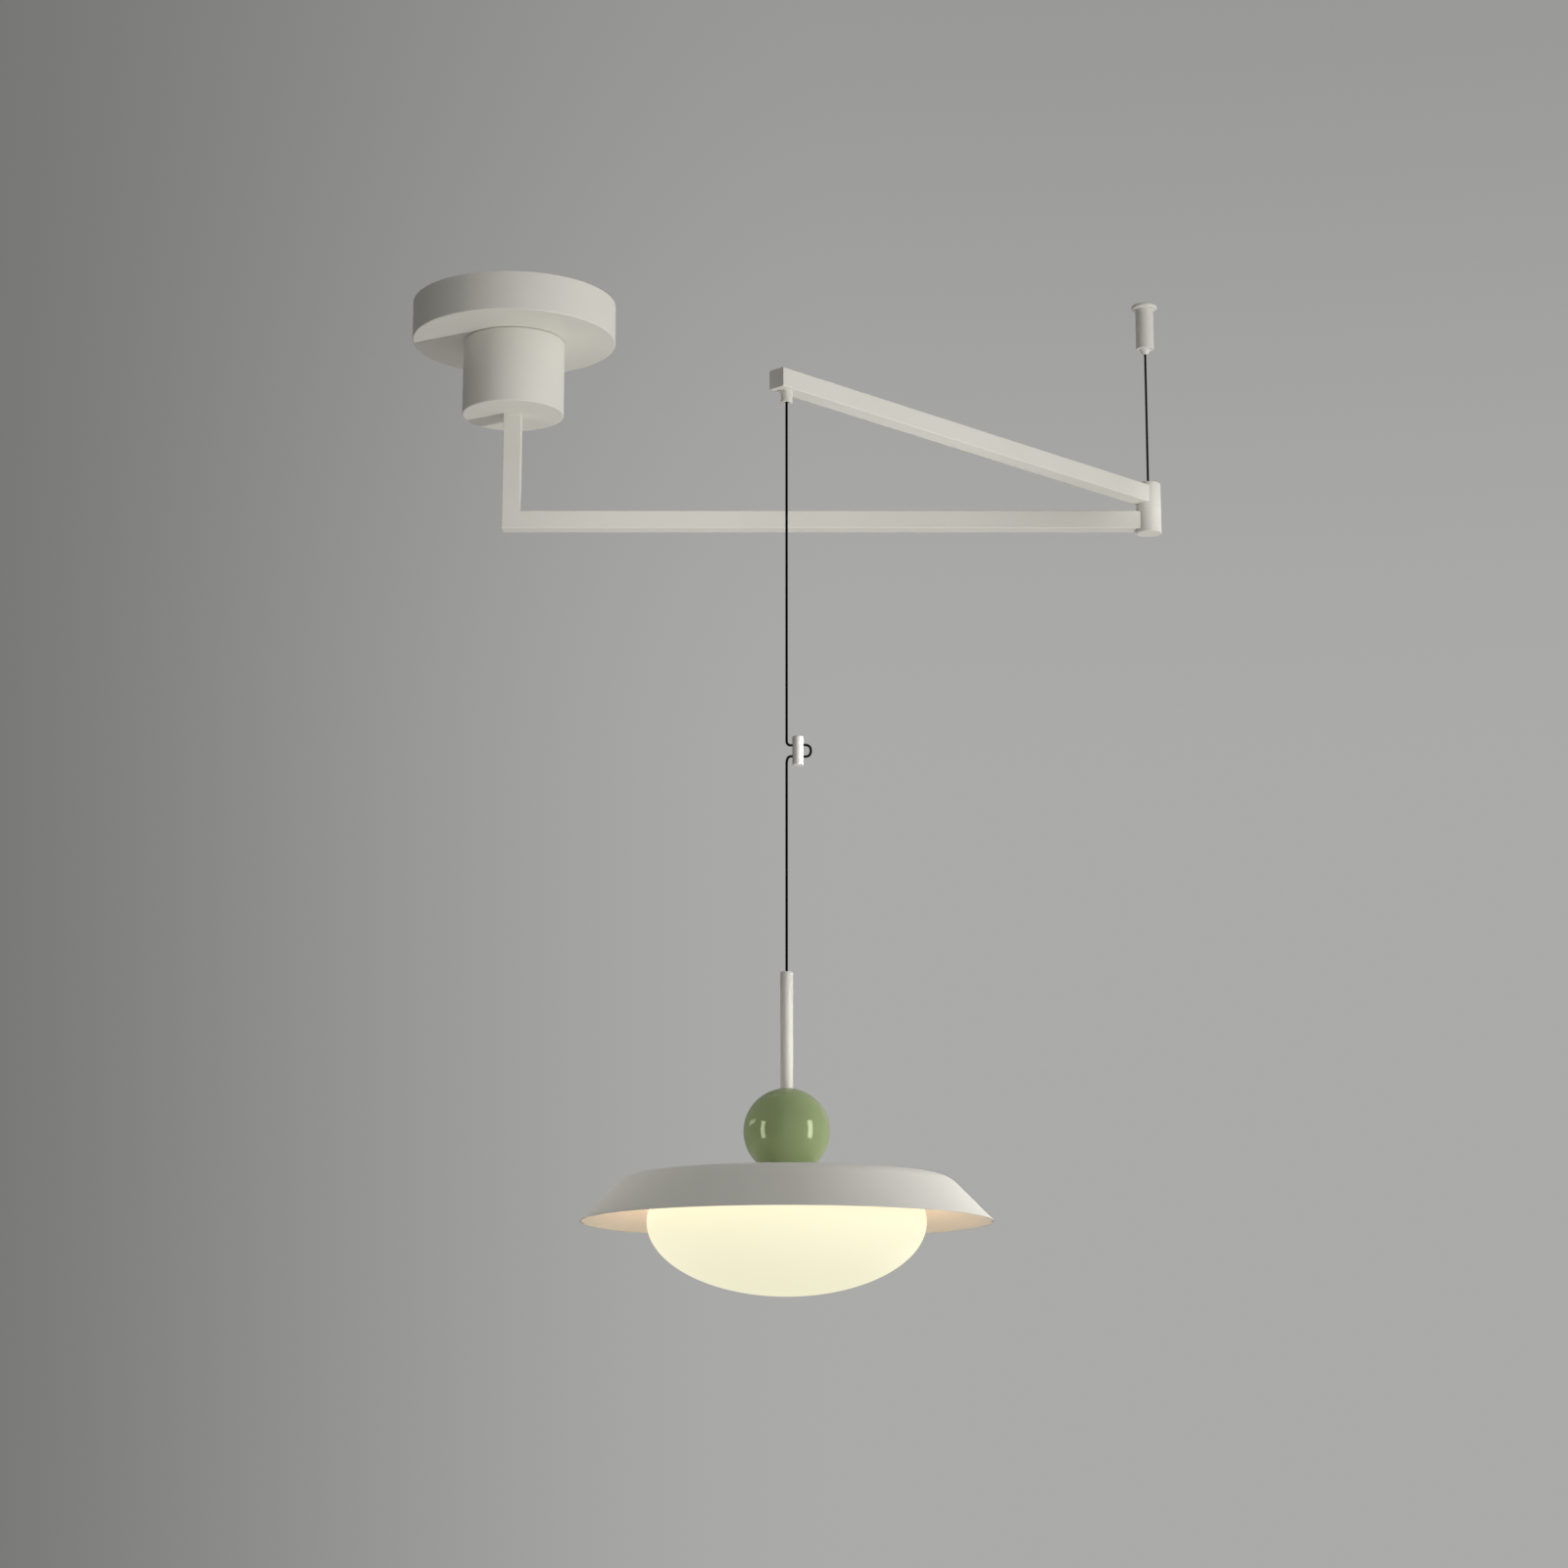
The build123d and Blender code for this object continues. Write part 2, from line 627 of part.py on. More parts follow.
# Knuckle caps: pressed discs that close the two mouths, the upper one drilled for the support wire
with BuildPart() as lower_knuckle_cap:
    ring(at_elbow(lower_knuckle_bottom), knuckle_bore - 2 * fixed_gap, knuckle_cap)
keep("lower_knuckle_cap", lower_knuckle_cap.part)

wire_hole = support_wire_diameter + 2 * loose_gap
with BuildPart() as upper_knuckle_cap:
    ring(at_elbow(upper_knuckle_top), knuckle_bore - 2 * fixed_gap, -knuckle_cap, wire_hole)
keep("upper_knuckle_cap", upper_knuckle_cap.part)

# Tenon screws: socket screws down through the top of each arm, sunk a little into the tube
upper_screw = across_upper_arm(knuckle_diameter / 2 + tenon_screw_inset).origin
screw_sink = tube_side / 2 - loose_gap
for label, screw_end in (
    ("lower_tenon_screw", Plane((screw_x, 0, lower_arm_z + screw_sink))),
    ("upper_tenon_screw", Plane((upper_screw.X, upper_screw.Y, upper_arm_z + screw_sink))),
):
    with BuildPart() as tenon_screw:
        ring(screw_end, tenon_screw_diameter, -tenon_screw_length)
        hexagon(screw_end, tenon_screw_diameter / 2, -tenon_screw_diameter / 2, mode=Mode.SUBTRACT)
    keep(label, tenon_screw.part)

# Elbow pivot: a hollow bolt fixed in the lower knuckle that the upper knuckle turns on
upper_plate_top = upper_knuckle_bottom + knuckle_plate
elbow_nut_bottom = upper_plate_top + elbow_bush_flange + face_gap
pivot_top = elbow_nut_bottom + elbow_nut_height + pivot_end
with BuildPart() as elbow_pivot:
    lower_plate_bottom = lower_knuckle_top - knuckle_plate
    ring(at_elbow(lower_plate_bottom), pivot_head_diameter, -pivot_head, pivot_bore)
    ring(at_elbow(lower_plate_bottom), pivot_diameter, pivot_top - lower_plate_bottom, pivot_bore)
keep("elbow_pivot", elbow_pivot.part)

# Elbow washer, bush and nut: a slippery washer between the knuckles, a bush in the upper one, a nut above
with BuildPart() as elbow_washer:
    ring(
        at_elbow(lower_knuckle_top),
        elbow_washer_diameter,
        elbow_washer_thickness - face_gap,
        elbow_bush_outer + 2 * loose_gap,
    )
keep("elbow_washer", elbow_washer.part)

elbow_bush_bore = pivot_diameter + 2 * turning_gap
with BuildPart() as elbow_bush:
    ring(at_elbow(upper_knuckle_bottom), elbow_bush_outer, knuckle_plate, elbow_bush_bore)
    ring(at_elbow(upper_plate_top), elbow_bush_flange_diameter, elbow_bush_flange, elbow_bush_bore)
keep("elbow_bush", elbow_bush.part)

with BuildPart() as elbow_nut:
    hexagon(at_elbow(elbow_nut_bottom), elbow_nut_flats, elbow_nut_height, pivot_diameter + 2 * fixed_gap)
    chamfer(elbow_nut.edges().filter_by(GeomType.CIRCLE), small_nut_chamfer)
keep("elbow_nut", elbow_nut.part)

# Upper arm tube: the second square tube, coped to the knuckle, with a hole under its free end for the gland
with BuildPart() as upper_arm_tube:
    square_tube(across_upper_arm(0), upper_arm_reach - end_cap_plate)
    ring(at_elbow(upper_knuckle_bottom), knuckle_diameter + 2 * seam, knuckle_height, mode=Mode.SUBTRACT)
    ring(at_lamp(upper_arm_z), gland_neck_diameter + 2 * fixed_gap, -tube_side, mode=Mode.SUBTRACT)
    ring(Plane(upper_screw), tenon_screw_diameter + 2 * fixed_gap, tube_side, mode=Mode.SUBTRACT)
keep("upper_arm_tube", upper_arm_tube.part)

# Arm end cap: a plate of the tube's own outline with a plug behind it
with BuildPart() as arm_end_cap:
    plug_plane = across_upper_arm(upper_arm_reach - end_cap_plate - end_cap_plug)
    block(across_upper_arm(upper_arm_reach - end_cap_plate), tube_side, tube_side, end_cap_plate, tube_corner)
    block(plug_plane, tenon_side, tenon_side, end_cap_plug, tube_inner_corner)
    plug_bore = tenon_side - 2 * tube_wall
    block(plug_plane, plug_bore, plug_bore, end_cap_plug, tube_inner_corner, mode=Mode.SUBTRACT)
    ring(at_lamp(upper_arm_z), end_cap_notch, tube_side, mode=Mode.SUBTRACT)
    ring(at_lamp(upper_arm_z), end_cap_notch, -tube_side, mode=Mode.SUBTRACT)
keep("arm_end_cap", arm_end_cap.part)

# Cord gland: a turned bush under the arm end, flared at its mouth so that the cord leans on no sharp edge
throat = cord_hole / 2
mouth = throat + gland_throat_depth * math.tan(math.radians(gland_flare))
neck_top = upper_tube_bottom + gland_neck_height
with BuildPart() as cord_gland:
    turned(
        lamp_section(),
        lamp_axis(),
        (mouth, gland_mouth),
        (gland_diameter / 2 - gland_edge, gland_mouth),
        (gland_diameter / 2, gland_mouth + gland_edge),
        (gland_diameter / 2, upper_tube_bottom),
        (gland_neck_diameter / 2, upper_tube_bottom),
        (gland_neck_diameter / 2, neck_top),
        (gland_bore / 2, neck_top),
        (gland_bore / 2, cord_top + flex_play),
        (throat, cord_top + flex_play / 2),
        (throat, cord_top),
    )
keep("cord_gland", cord_gland.part)

with BuildPart() as gland_nut:
    hexagon(
        at_lamp(upper_tube_bottom + tube_wall),
        gland_nut_flats,
        gland_nut_height,
        gland_neck_diameter + 2 * fixed_gap,
    )
keep("gland_nut", gland_nut.part)

# Pendant cord: hangs straight from the gland, crosses the adjuster, loops back through it and drops to the lamp
adjuster_x = lamp_x + adjuster_offset
adjuster_z = gland_mouth - adjuster_level
upper_hole_z = adjuster_z + adjuster_hole_spacing / 2
lower_hole_z = adjuster_z - adjuster_hole_spacing / 2
loop_bend = (adjuster_hole_spacing - loop_straight) / 2
loop_x = adjuster_x + adjuster_diameter / 2 + adjuster_hole_spacing / 2
cord_split = lower_hole_z - lower_cord_start
upper_cord = cord(
    "upper_cord",
    cord_diameter,
    (
        (lamp_x, lamp_y, cord_top),
        (lamp_x, lamp_y, upper_hole_z),
        (loop_x, lamp_y, upper_hole_z),
        (loop_x, lamp_y, lower_hole_z),
        (lamp_x, lamp_y, lower_hole_z),
        (lamp_x, lamp_y, cord_split),
    ),
    [adjuster_bend, loop_bend, loop_bend, adjuster_bend],
)
keep("upper_cord", upper_cord)
lower_cord = cord(
    "lower_cord",
    cord_diameter,
    ((lamp_x, lamp_y, cord_split), (lamp_x, lamp_y, cord_bottom)),
    [],
)
keep("lower_cord", lower_cord)

# Cord adjuster: a small turned bar with two cross holes that grips the cord by its bends
with BuildPart() as cord_adjuster:
    ring(Plane((adjuster_x, lamp_y, adjuster_z - adjuster_height / 2)), adjuster_diameter, adjuster_height)
    fillet(cord_adjuster.edges().filter_by(GeomType.CIRCLE), adjuster_edge)
    with BuildSketch(Plane((adjuster_x, lamp_y, adjuster_z), x_dir=(0, 1, 0), z_dir=(1, 0, 0))):
        with GridLocations(0, adjuster_hole_spacing, 1, 2):
            Circle(cord_hole / 2)
    extrude(amount=adjuster_diameter, both=True, mode=Mode.SUBTRACT)
keep("cord_adjuster", cord_adjuster.part)

# Inside flex: the same cord, run from the shaft down the stem, along the lower arm and up into the elbow pivot
elbow_split = upper_knuckle_bottom
lower_flex = cord(
    "lower_flex",
    cord_diameter,
    (
        (0, 0, -plate_thickness - plate_boss_height),
        (0, 0, lower_arm_z),
        (lower_arm_length, 0, lower_arm_z),
        (lower_arm_length, 0, elbow_split - flex_play),
    ),
    [flex_bend, flex_bend],
)
keep("lower_flex", lower_flex)
upper_flex = cord(
    "upper_flex",
    cord_diameter,
    (
        (lower_arm_length, 0, elbow_split),
        (lower_arm_length, 0, upper_arm_z),
        (lamp_x, lamp_y, upper_arm_z),
        (lamp_x, lamp_y, cord_top + flex_play),
    ),
    [flex_bend, flex_bend],
)
keep("upper_flex", upper_flex)

# Drop tube: the lamp's own stem, with the cord lock in its top and the threaded nipple in its foot
drop_tube_bore = nipple_diameter + 2 * fixed_gap
tube_bottom = ball_z + ball_crown
with BuildPart() as drop_tube:
    ring(at_lamp(tube_bottom), drop_tube_diameter, drop_tube_length, drop_tube_bore)
    fillet(drop_tube.edges().group_by(Axis.Z)[-1], drop_tube_edge)
keep("drop_tube", drop_tube.part)

lock_mouth = throat + cord_lock_throat * math.tan(math.radians(gland_flare))
with BuildPart() as cord_lock:
    lock_outer = nipple_diameter / 2
    turned(
        lamp_section(),
        lamp_axis(),
        (throat, cord_bottom),
        (lock_mouth, drop_tube_top - fixed_gap),
        (lock_outer, drop_tube_top - fixed_gap),
        (lock_outer, drop_tube_top - cord_lock_height),
        (throat, drop_tube_top - cord_lock_height),
    )
keep("cord_lock", cord_lock.part)

lamp_nut_bottom = pan_bottom - lamp_washer_thickness - lamp_nut_height
nipple_top = tube_bottom + nipple_grip
nipple_bottom = lamp_nut_bottom - nipple_end
with BuildPart() as lamp_nipple:
    ring(at_lamp(nipple_bottom), nipple_diameter, nipple_top - nipple_bottom, nipple_bore)
keep("lamp_nipple", lamp_nipple.part)

# Ball: a hollow metal ball cut flat at its crown and foot, with the nipple through both
nipple_hole = nipple_diameter + 2 * fixed_gap
with BuildPart() as ball:
    with Locations((lamp_x, lamp_y, ball_z)):
        Sphere(ball_radius)
        Sphere(ball_radius - ball_wall, mode=Mode.SUBTRACT)
    ring(at_lamp(ball_z + ball_crown), ball_diameter, ball_diameter, mode=Mode.SUBTRACT)
    ring(at_lamp(ball_z - ball_foot), ball_diameter, -ball_diameter, mode=Mode.SUBTRACT)
    ring(at_lamp(ball_z - ball_radius), nipple_hole, ball_diameter, mode=Mode.SUBTRACT)
keep("ball", ball.part)

with BuildPart() as ball_washer:
    ring(at_lamp(shade_top), ball_washer_diameter, ball_washer_thickness, nipple_hole)
keep("ball_washer", ball_washer.part)

# Shade: a spun cone with a flat top, a soft shoulder and a thin rim
shade_corner = shade_corner_diameter / 2
rim = shade_rim_diameter / 2
slope = math.atan2(shade_height, rim - shade_corner)
inner_shift = shade_wall * math.tan(slope / 2)
rim_shift = shade_wall / math.sin(slope)
with BuildPart() as shade:
    with BuildSketch(lamp_section()):
        with BuildLine():
            FilletPolyline(
                (nipple_hole / 2, shade_top),
                (shade_corner, shade_top),
                (rim, shade_rim),
                radius=shade_shoulder,
            )
            Line((rim, shade_rim), (rim - rim_shift, shade_rim))
            FilletPolyline(
                (rim - rim_shift, shade_rim),
                (shade_corner - inner_shift, pan_top),
                (nipple_hole / 2, pan_top),
                radius=shade_shoulder - shade_wall,
            )
            Line((nipple_hole / 2, pan_top), (nipple_hole / 2, shade_top))
        make_face()
    revolve(axis=lamp_axis())
keep("shade", shade.part)

# Gallery pan: the shallow pan under the shade's top that carries the light board and grips the glass's neck
pan_outer = pan_diameter / 2
gallery_screw_z = pan_top - gallery_screw_level
with BuildPart() as gallery_pan:
    turned(
        lamp_section(),
        lamp_axis(),
        (nipple_hole / 2, pan_top),
        (pan_outer, pan_top),
        (pan_outer, pan_top - pan_depth),
        (pan_outer - pan_wall, pan_top - pan_depth),
        (pan_outer - pan_wall, pan_bottom),
        (nipple_hole / 2, pan_bottom),
    )
    for turn in range(gallery_screw_count):
        bearing = math.radians(gallery_screw_bearing + turn * 360 / gallery_screw_count)
        outward = (math.cos(bearing), math.sin(bearing), 0)
        with BuildSketch(Plane((lamp_x, lamp_y, gallery_screw_z), z_dir=outward)):
            Circle(gallery_screw_diameter / 2 + fixed_gap)
        extrude(amount=pan_diameter, mode=Mode.SUBTRACT)
keep("gallery_pan", gallery_pan.part)

# Gallery screws: three thumb screws through the pan's skirt, each stopping just short of the glass neck
with BuildPart() as gallery_screws:
    for turn in range(gallery_screw_count):
        bearing = math.radians(gallery_screw_bearing + turn * 360 / gallery_screw_count)
        outward = (math.cos(bearing), math.sin(bearing), 0)
        middle = Plane((lamp_x, lamp_y, gallery_screw_z), z_dir=outward)
        screw_tip = glass_neck_diameter / 2 + fixed_gap
        ring(middle.offset(screw_tip), gallery_screw_diameter, pan_outer + fixed_gap - screw_tip)
        ring(middle.offset(pan_outer + fixed_gap), gallery_screw_head, gallery_screw_head_height)
keep("gallery_screws", gallery_screws.part)

# Lamp washer and nut: clamp the pan, shade and ball together on the nipple
with BuildPart() as lamp_washer:
    ring(at_lamp(pan_bottom), lamp_washer_diameter, -lamp_washer_thickness, nipple_hole)
keep("lamp_washer", lamp_washer.part)

with BuildPart() as lamp_nut:
    hexagon(at_lamp(lamp_nut_bottom), lamp_nut_flats, lamp_nut_height, nipple_hole)
    chamfer(lamp_nut.edges().filter_by(GeomType.CIRCLE), small_nut_chamfer)
keep("lamp_nut", lamp_nut.part)

# Light board: a round white board with three rings of light chips on its lower face
with BuildPart() as led_board:
    ring(at_lamp(pan_bottom), board_diameter, -board_thickness, board_hole)
keep("led_board", led_board.part)

with BuildPart() as led_chips:
    with BuildSketch(at_lamp(board_bottom)):
        for circle, count in zip(chip_ring_diameters, chip_ring_counts):
            with PolarLocations(circle / 2, count):
                Rectangle(chip_side, chip_side)
    extrude(amount=-chip_height)
keep("led_chips", led_chips.part)

# Lamp flex: from the cord lock through tube and nipple, out under the nut and up to the light board
tail_z = nipple_bottom - lamp_tail_drop
lamp_flex = cord(
    "lamp_flex",
    cord_diameter,
    (
        (lamp_x, lamp_y, cord_bottom - flex_play),
        (lamp_x, lamp_y, tail_z),
        (lamp_x + lamp_tail_radius, lamp_y, tail_z),
        (lamp_x + lamp_tail_radius, lamp_y, board_bottom),
    ),
    [flex_bend, flex_bend],
)
keep("lamp_flex", lamp_flex)

# Glass diffuser: a blown opal bowl, half an ellipsoid below the rim, turned in above it to a short neck
glass_radius = glass_diameter / 2
neck_radius = glass_neck_diameter / 2
neck_top_z = pan_bottom - face_gap
shoulder_z = glass_equator + glass_shoulder_rise
shoulder_radius = glass_radius * math.sqrt(1 - (glass_shoulder_rise / glass_depth) ** 2)
neck_z = glass_equator + glass_neck_rise
inner_glass_radius = glass_radius - glass_wall
inner_glass_depth = glass_depth - glass_wall
inner_shoulder_radius = inner_glass_radius * math.sqrt(1 - (glass_shoulder_rise / inner_glass_depth) ** 2)
shoulder_turn = math.asin(glass_shoulder_rise / glass_depth)
inner_turn = math.asin(glass_shoulder_rise / inner_glass_depth)
shoulder_lead = (-glass_radius * math.sin(shoulder_turn), glass_depth * math.cos(shoulder_turn))
inner_lead = (inner_glass_radius * math.sin(inner_turn), -inner_glass_depth * math.cos(inner_turn))
outer_arc = 90 + math.degrees(shoulder_turn)
inner_arc = 90 + math.degrees(inner_turn)
with BuildPart() as glass_diffuser:
    with BuildSketch(lamp_section()):
        with BuildLine():
            EllipticalCenterArc((0, glass_equator), glass_radius, glass_depth, -90, arc_size=outer_arc)
            Spline((shoulder_radius, shoulder_z), (neck_radius, neck_z), tangents=(shoulder_lead, (0, 1)))
            Line((neck_radius, neck_z), (neck_radius, neck_top_z))
            Line((neck_radius, neck_top_z), (neck_radius - glass_wall, neck_top_z))
            Line((neck_radius - glass_wall, neck_top_z), (neck_radius - glass_wall, neck_z))
            Spline(
                (neck_radius - glass_wall, neck_z),
                (inner_shoulder_radius, shoulder_z),
                tangents=((0, -1), inner_lead),
            )
            EllipticalCenterArc(
                (0, glass_equator),
                inner_glass_radius,
                inner_glass_depth,
                -90,
                arc_size=inner_arc,
            )
            Line((0, glass_equator - glass_depth), (0, glass_equator - inner_glass_depth))
        make_face()
    revolve(axis=lamp_axis())
keep("glass_diffuser", glass_diffuser.part)

# Ceiling anchor: a base plug on the ceiling and a flanged cap screwed over it
with BuildPart() as anchor_base:
    ring(at_elbow(0), anchor_bore - 2 * fixed_gap, -anchor_base_height, anchor_hole)
keep("anchor_base", anchor_base.part)

nozzle_hole = nozzle_diameter + 2 * loose_gap
with BuildPart() as anchor_cap:
    ring(at_elbow(0), anchor_flange_diameter, -anchor_flange)
    fillet(anchor_cap.edges().filter_by(GeomType.CIRCLE), anchor_flange_edge)
    ring(at_elbow(0), anchor_diameter, -anchor_height)
    fillet(anchor_cap.edges().group_by(Axis.Z)[0], anchor_edge)
    ring(at_elbow(0), anchor_bore, anchor_floor - anchor_height, mode=Mode.SUBTRACT)
    ring(at_elbow(0), nozzle_hole, -anchor_height, mode=Mode.SUBTRACT)
keep("anchor_cap", anchor_cap.part)

# Gripper: a bored slug, three balls that wedge on the wire, the spring that presses them down, and the nozzle
# that is pushed up to let the wire run
gripper_bottom = anchor_floor - anchor_height
bearing_circle = support_wire_diameter + ball_bearing_diameter + 2 * fixed_gap
gripper_bore = bearing_circle + ball_bearing_diameter + 2 * fixed_gap
with BuildPart() as gripper_body:
    ring(at_elbow(gripper_bottom), anchor_bore - 2 * fixed_gap, gripper_height, wire_hole)
    ring(at_elbow(gripper_bottom), gripper_bore, gripper_height - gripper_roof, mode=Mode.SUBTRACT)
keep("gripper_body", gripper_body.part)

with BuildPart() as gripper_balls:
    with Locations(at_elbow(-ball_bearing_level)):
        with PolarLocations(bearing_circle / 2, ball_bearing_count):
            Sphere(ball_bearing_diameter / 2)
keep("gripper_balls", gripper_balls.part)

spring_bottom = -ball_bearing_level + ball_bearing_diameter / 2 + spring_wire / 2 + fixed_gap
spring_top = gripper_bottom + gripper_height - gripper_roof - spring_wire / 2 - fixed_gap
with BuildPart() as gripper_spring:
    with BuildLine():
        spring_radius = (spring_diameter - spring_wire) / 2
        spring_start = (lower_arm_length, 0, spring_bottom)
        coil = Helix(spring_pitch, spring_top - spring_bottom, spring_radius, center=spring_start)
    with BuildSketch(Plane(coil @ 0, z_dir=coil % 0)):
        Circle(spring_wire / 2)
    sweep(is_frenet=True)
keep("gripper_spring", gripper_spring.part)

nozzle_top = -anchor_height + nozzle_collar
with BuildPart() as release_nozzle:
    turned(
        Plane((lower_arm_length, 0, 0), x_dir=(1, 0, 0), z_dir=(0, -1, 0)),
        Axis((lower_arm_length, 0, 0), (0, 0, 1)),
        (wire_hole / 2, -nozzle_sleeve_top),
        (nozzle_sleeve_diameter / 2, -nozzle_sleeve_top),
        (nozzle_sleeve_diameter / 2, nozzle_top),
        (nozzle_diameter / 2, nozzle_top),
        (nozzle_diameter / 2, -anchor_height),
        (nozzle_tip_diameter / 2, -anchor_height - nozzle_tip_height),
        (wire_hole / 2, -anchor_height - nozzle_tip_height),
    )
keep("release_nozzle", release_nozzle.part)

# Support wire: a coated steel cable from the gripper to a crimped ferrule under the upper knuckle's cap
ferrule_top = upper_knuckle_top - knuckle_cap - loose_gap
support_wire = cord(
    "support_wire",
    support_wire_diameter,
    ((lower_arm_length, 0, -support_wire_top), (lower_arm_length, 0, ferrule_top)),
    [],
)
keep("support_wire", support_wire)

with BuildPart() as wire_ferrule:
    ring(at_elbow(ferrule_top), ferrule_diameter, -ferrule_height)
    fillet(wire_ferrule.edges().filter_by(GeomType.CIRCLE), ferrule_edge)
keep("wire_ferrule", wire_ferrule.part)
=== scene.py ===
"""Swing arm pendant light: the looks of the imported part, piece by piece from the ceiling to the glass."""

import math

import bmesh
import bpy
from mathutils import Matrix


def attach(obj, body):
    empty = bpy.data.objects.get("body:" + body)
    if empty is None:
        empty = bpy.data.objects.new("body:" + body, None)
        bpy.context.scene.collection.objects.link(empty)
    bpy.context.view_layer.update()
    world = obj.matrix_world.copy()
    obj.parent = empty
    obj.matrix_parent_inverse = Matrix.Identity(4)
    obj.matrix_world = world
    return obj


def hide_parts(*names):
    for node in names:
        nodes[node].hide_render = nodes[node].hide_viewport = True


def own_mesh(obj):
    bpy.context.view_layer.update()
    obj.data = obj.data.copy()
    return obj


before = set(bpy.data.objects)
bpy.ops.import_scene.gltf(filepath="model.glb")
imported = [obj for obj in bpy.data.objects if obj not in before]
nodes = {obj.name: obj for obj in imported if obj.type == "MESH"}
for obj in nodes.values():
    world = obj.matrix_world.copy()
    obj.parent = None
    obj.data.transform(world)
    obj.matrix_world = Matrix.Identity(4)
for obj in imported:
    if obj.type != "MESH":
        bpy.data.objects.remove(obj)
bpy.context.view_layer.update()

# View: the place the light is seen from, a little below the shade and straight in front, with a long
# lens tilted up so that canopy and glass both fit.
lens_length = 79.12
film_width = 36.0
eye = (0.3080, -3.7494, -1.3392)
eye_tilt = math.radians(101.759)
lens = bpy.data.cameras.new("lens")
lens.lens = lens_length
lens.sensor_width = film_width
viewpoint = bpy.data.objects.new("viewpoint", lens)
viewpoint.location = eye
viewpoint.rotation_euler = (eye_tilt, 0, 0)
bpy.context.collection.objects.link(viewpoint)
bpy.context.scene.camera = viewpoint


# Steel fixings: ceiling plate, shaft, nuts, screws, pins and the gripper's small parts. Pressed or turned
# from mild steel and bright zinc plated, which leaves a fine grain and a faint cloudy tint.
class Tone:
    """A value in a finish. Sums on it add Math nodes, and node() adds any other kind of node."""

    def __init__(self, tree, socket):
        self.tree = tree
        self.socket = socket

    def node(self, kind, settings, sockets, output=0):
        made = self.tree.nodes.new("ShaderNode" + kind)
        for name, value in settings.items():
            setattr(made, name, value)
        for name, value in sockets.items():
            if isinstance(value, Tone):
                self.tree.links.new(value.socket, made.inputs[name])
            else:
                made.inputs[name].default_value = value
        return Tone(self.tree, made.outputs[output])

    def feed(self, shader, name):
        self.tree.links.new(self.socket, shader.inputs[name])

    def math(self, operation, first, second):
        return self.node("Math", {"operation": operation}, {0: first, 1: second})

    def __add__(self, other):
        return self.math("ADD", self, other)

    def __radd__(self, other):
        return self.math("ADD", other, self)

    def __rsub__(self, other):
        return self.math("SUBTRACT", other, self)

    def __mul__(self, other):
        return self.math("MULTIPLY", self, other)

    def __rmul__(self, other):
        return self.math("MULTIPLY", other, self)

    def between(self, low, high):
        """This value's share of the way from one colour to another."""
        return self.node("Mix", {"data_type": "RGBA"}, {0: self, 6: (*low, 1), 7: (*high, 1)}, 2)

    def raised(self, height, distance, strength):
        """A surface direction that leans as a relief of this height would."""
        return self.node("Bump", {}, {"Height": height, "Distance": distance, "Strength": strength})


def new_finish(name, **constants):
    """Starts a finish. Gives it with its shader and the place on the piece, in metres."""
    made = bpy.data.materials.new(name)
    made.use_nodes = True
    shader = made.node_tree.nodes["Principled BSDF"]
    for socket, value in constants.items():
        shader.inputs[socket.replace("_", " ")].default_value = value
    place = made.node_tree.nodes.new("ShaderNodeTexCoord")
    return made, shader, Tone(made.node_tree, place.outputs["Object"])


def speckle(place, scale, detail=2.0):
    """Even noise of about this many grains to the metre."""
    return place.node("TexNoise", {}, {"Vector": place, "Scale": scale, "Detail": detail})


def dress(coat, *names):
    """Gives CAD pieces their finish."""
    for name in names:
        for slot in nodes[name].material_slots:
            slot.material = coat


zinc_blue = (0.56, 0.57, 0.58)
zinc_warm = (0.70, 0.69, 0.64)
zinc, shader, place = new_finish("zinc_plate", Metallic=1.0)
cloud = speckle(place, 60.0, detail=4.0)
grain = speckle(place, 2500.0)
cloud.between(zinc_blue, zinc_warm).feed(shader, "Base Color")
(0.24 + 0.10 * cloud + 0.08 * grain).feed(shader, "Roughness")
place.raised(grain, distance=0.0001, strength=0.12).feed(shader, "Normal")
dress(
    zinc, "ceiling_plate", "pivot_shaft", "shaft_lock_nut", "swivel_nut", "stop_arm", "stop_pin",
    "stem_flange", "stem_flange_screws", "hub_plate_screws", "canopy_grub_screws", "lower_tenon_screw",
    "upper_tenon_screw", "elbow_nut", "gripper_balls", "gripper_spring", "wire_ferrule", "lamp_washer",
    "lamp_nut", "gallery_screws", "anchor_base",
)

# Plastic parts: driver case, terminal strip, bearing washers and cord lock. Moulded in white nylon with
# the fine even texture of an etched mould.
nylon_dull = (0.78, 0.77, 0.73)
nylon_bright = (0.86, 0.85, 0.81)
nylon, shader, place = new_finish("moulded_nylon", IOR=1.53)
cloud = speckle(place, 40.0, detail=3.0)
etch = speckle(place, 1600.0, detail=3.0)
cloud.between(nylon_dull, nylon_bright).feed(shader, "Base Color")
(0.48 + 0.14 * etch).feed(shader, "Roughness")
place.raised(etch, distance=0.0002, strength=0.15).feed(shader, "Normal")
dress(nylon, "led_driver", "terminal_block", "thrust_washer", "elbow_washer", "cord_lock", "ball_washer")

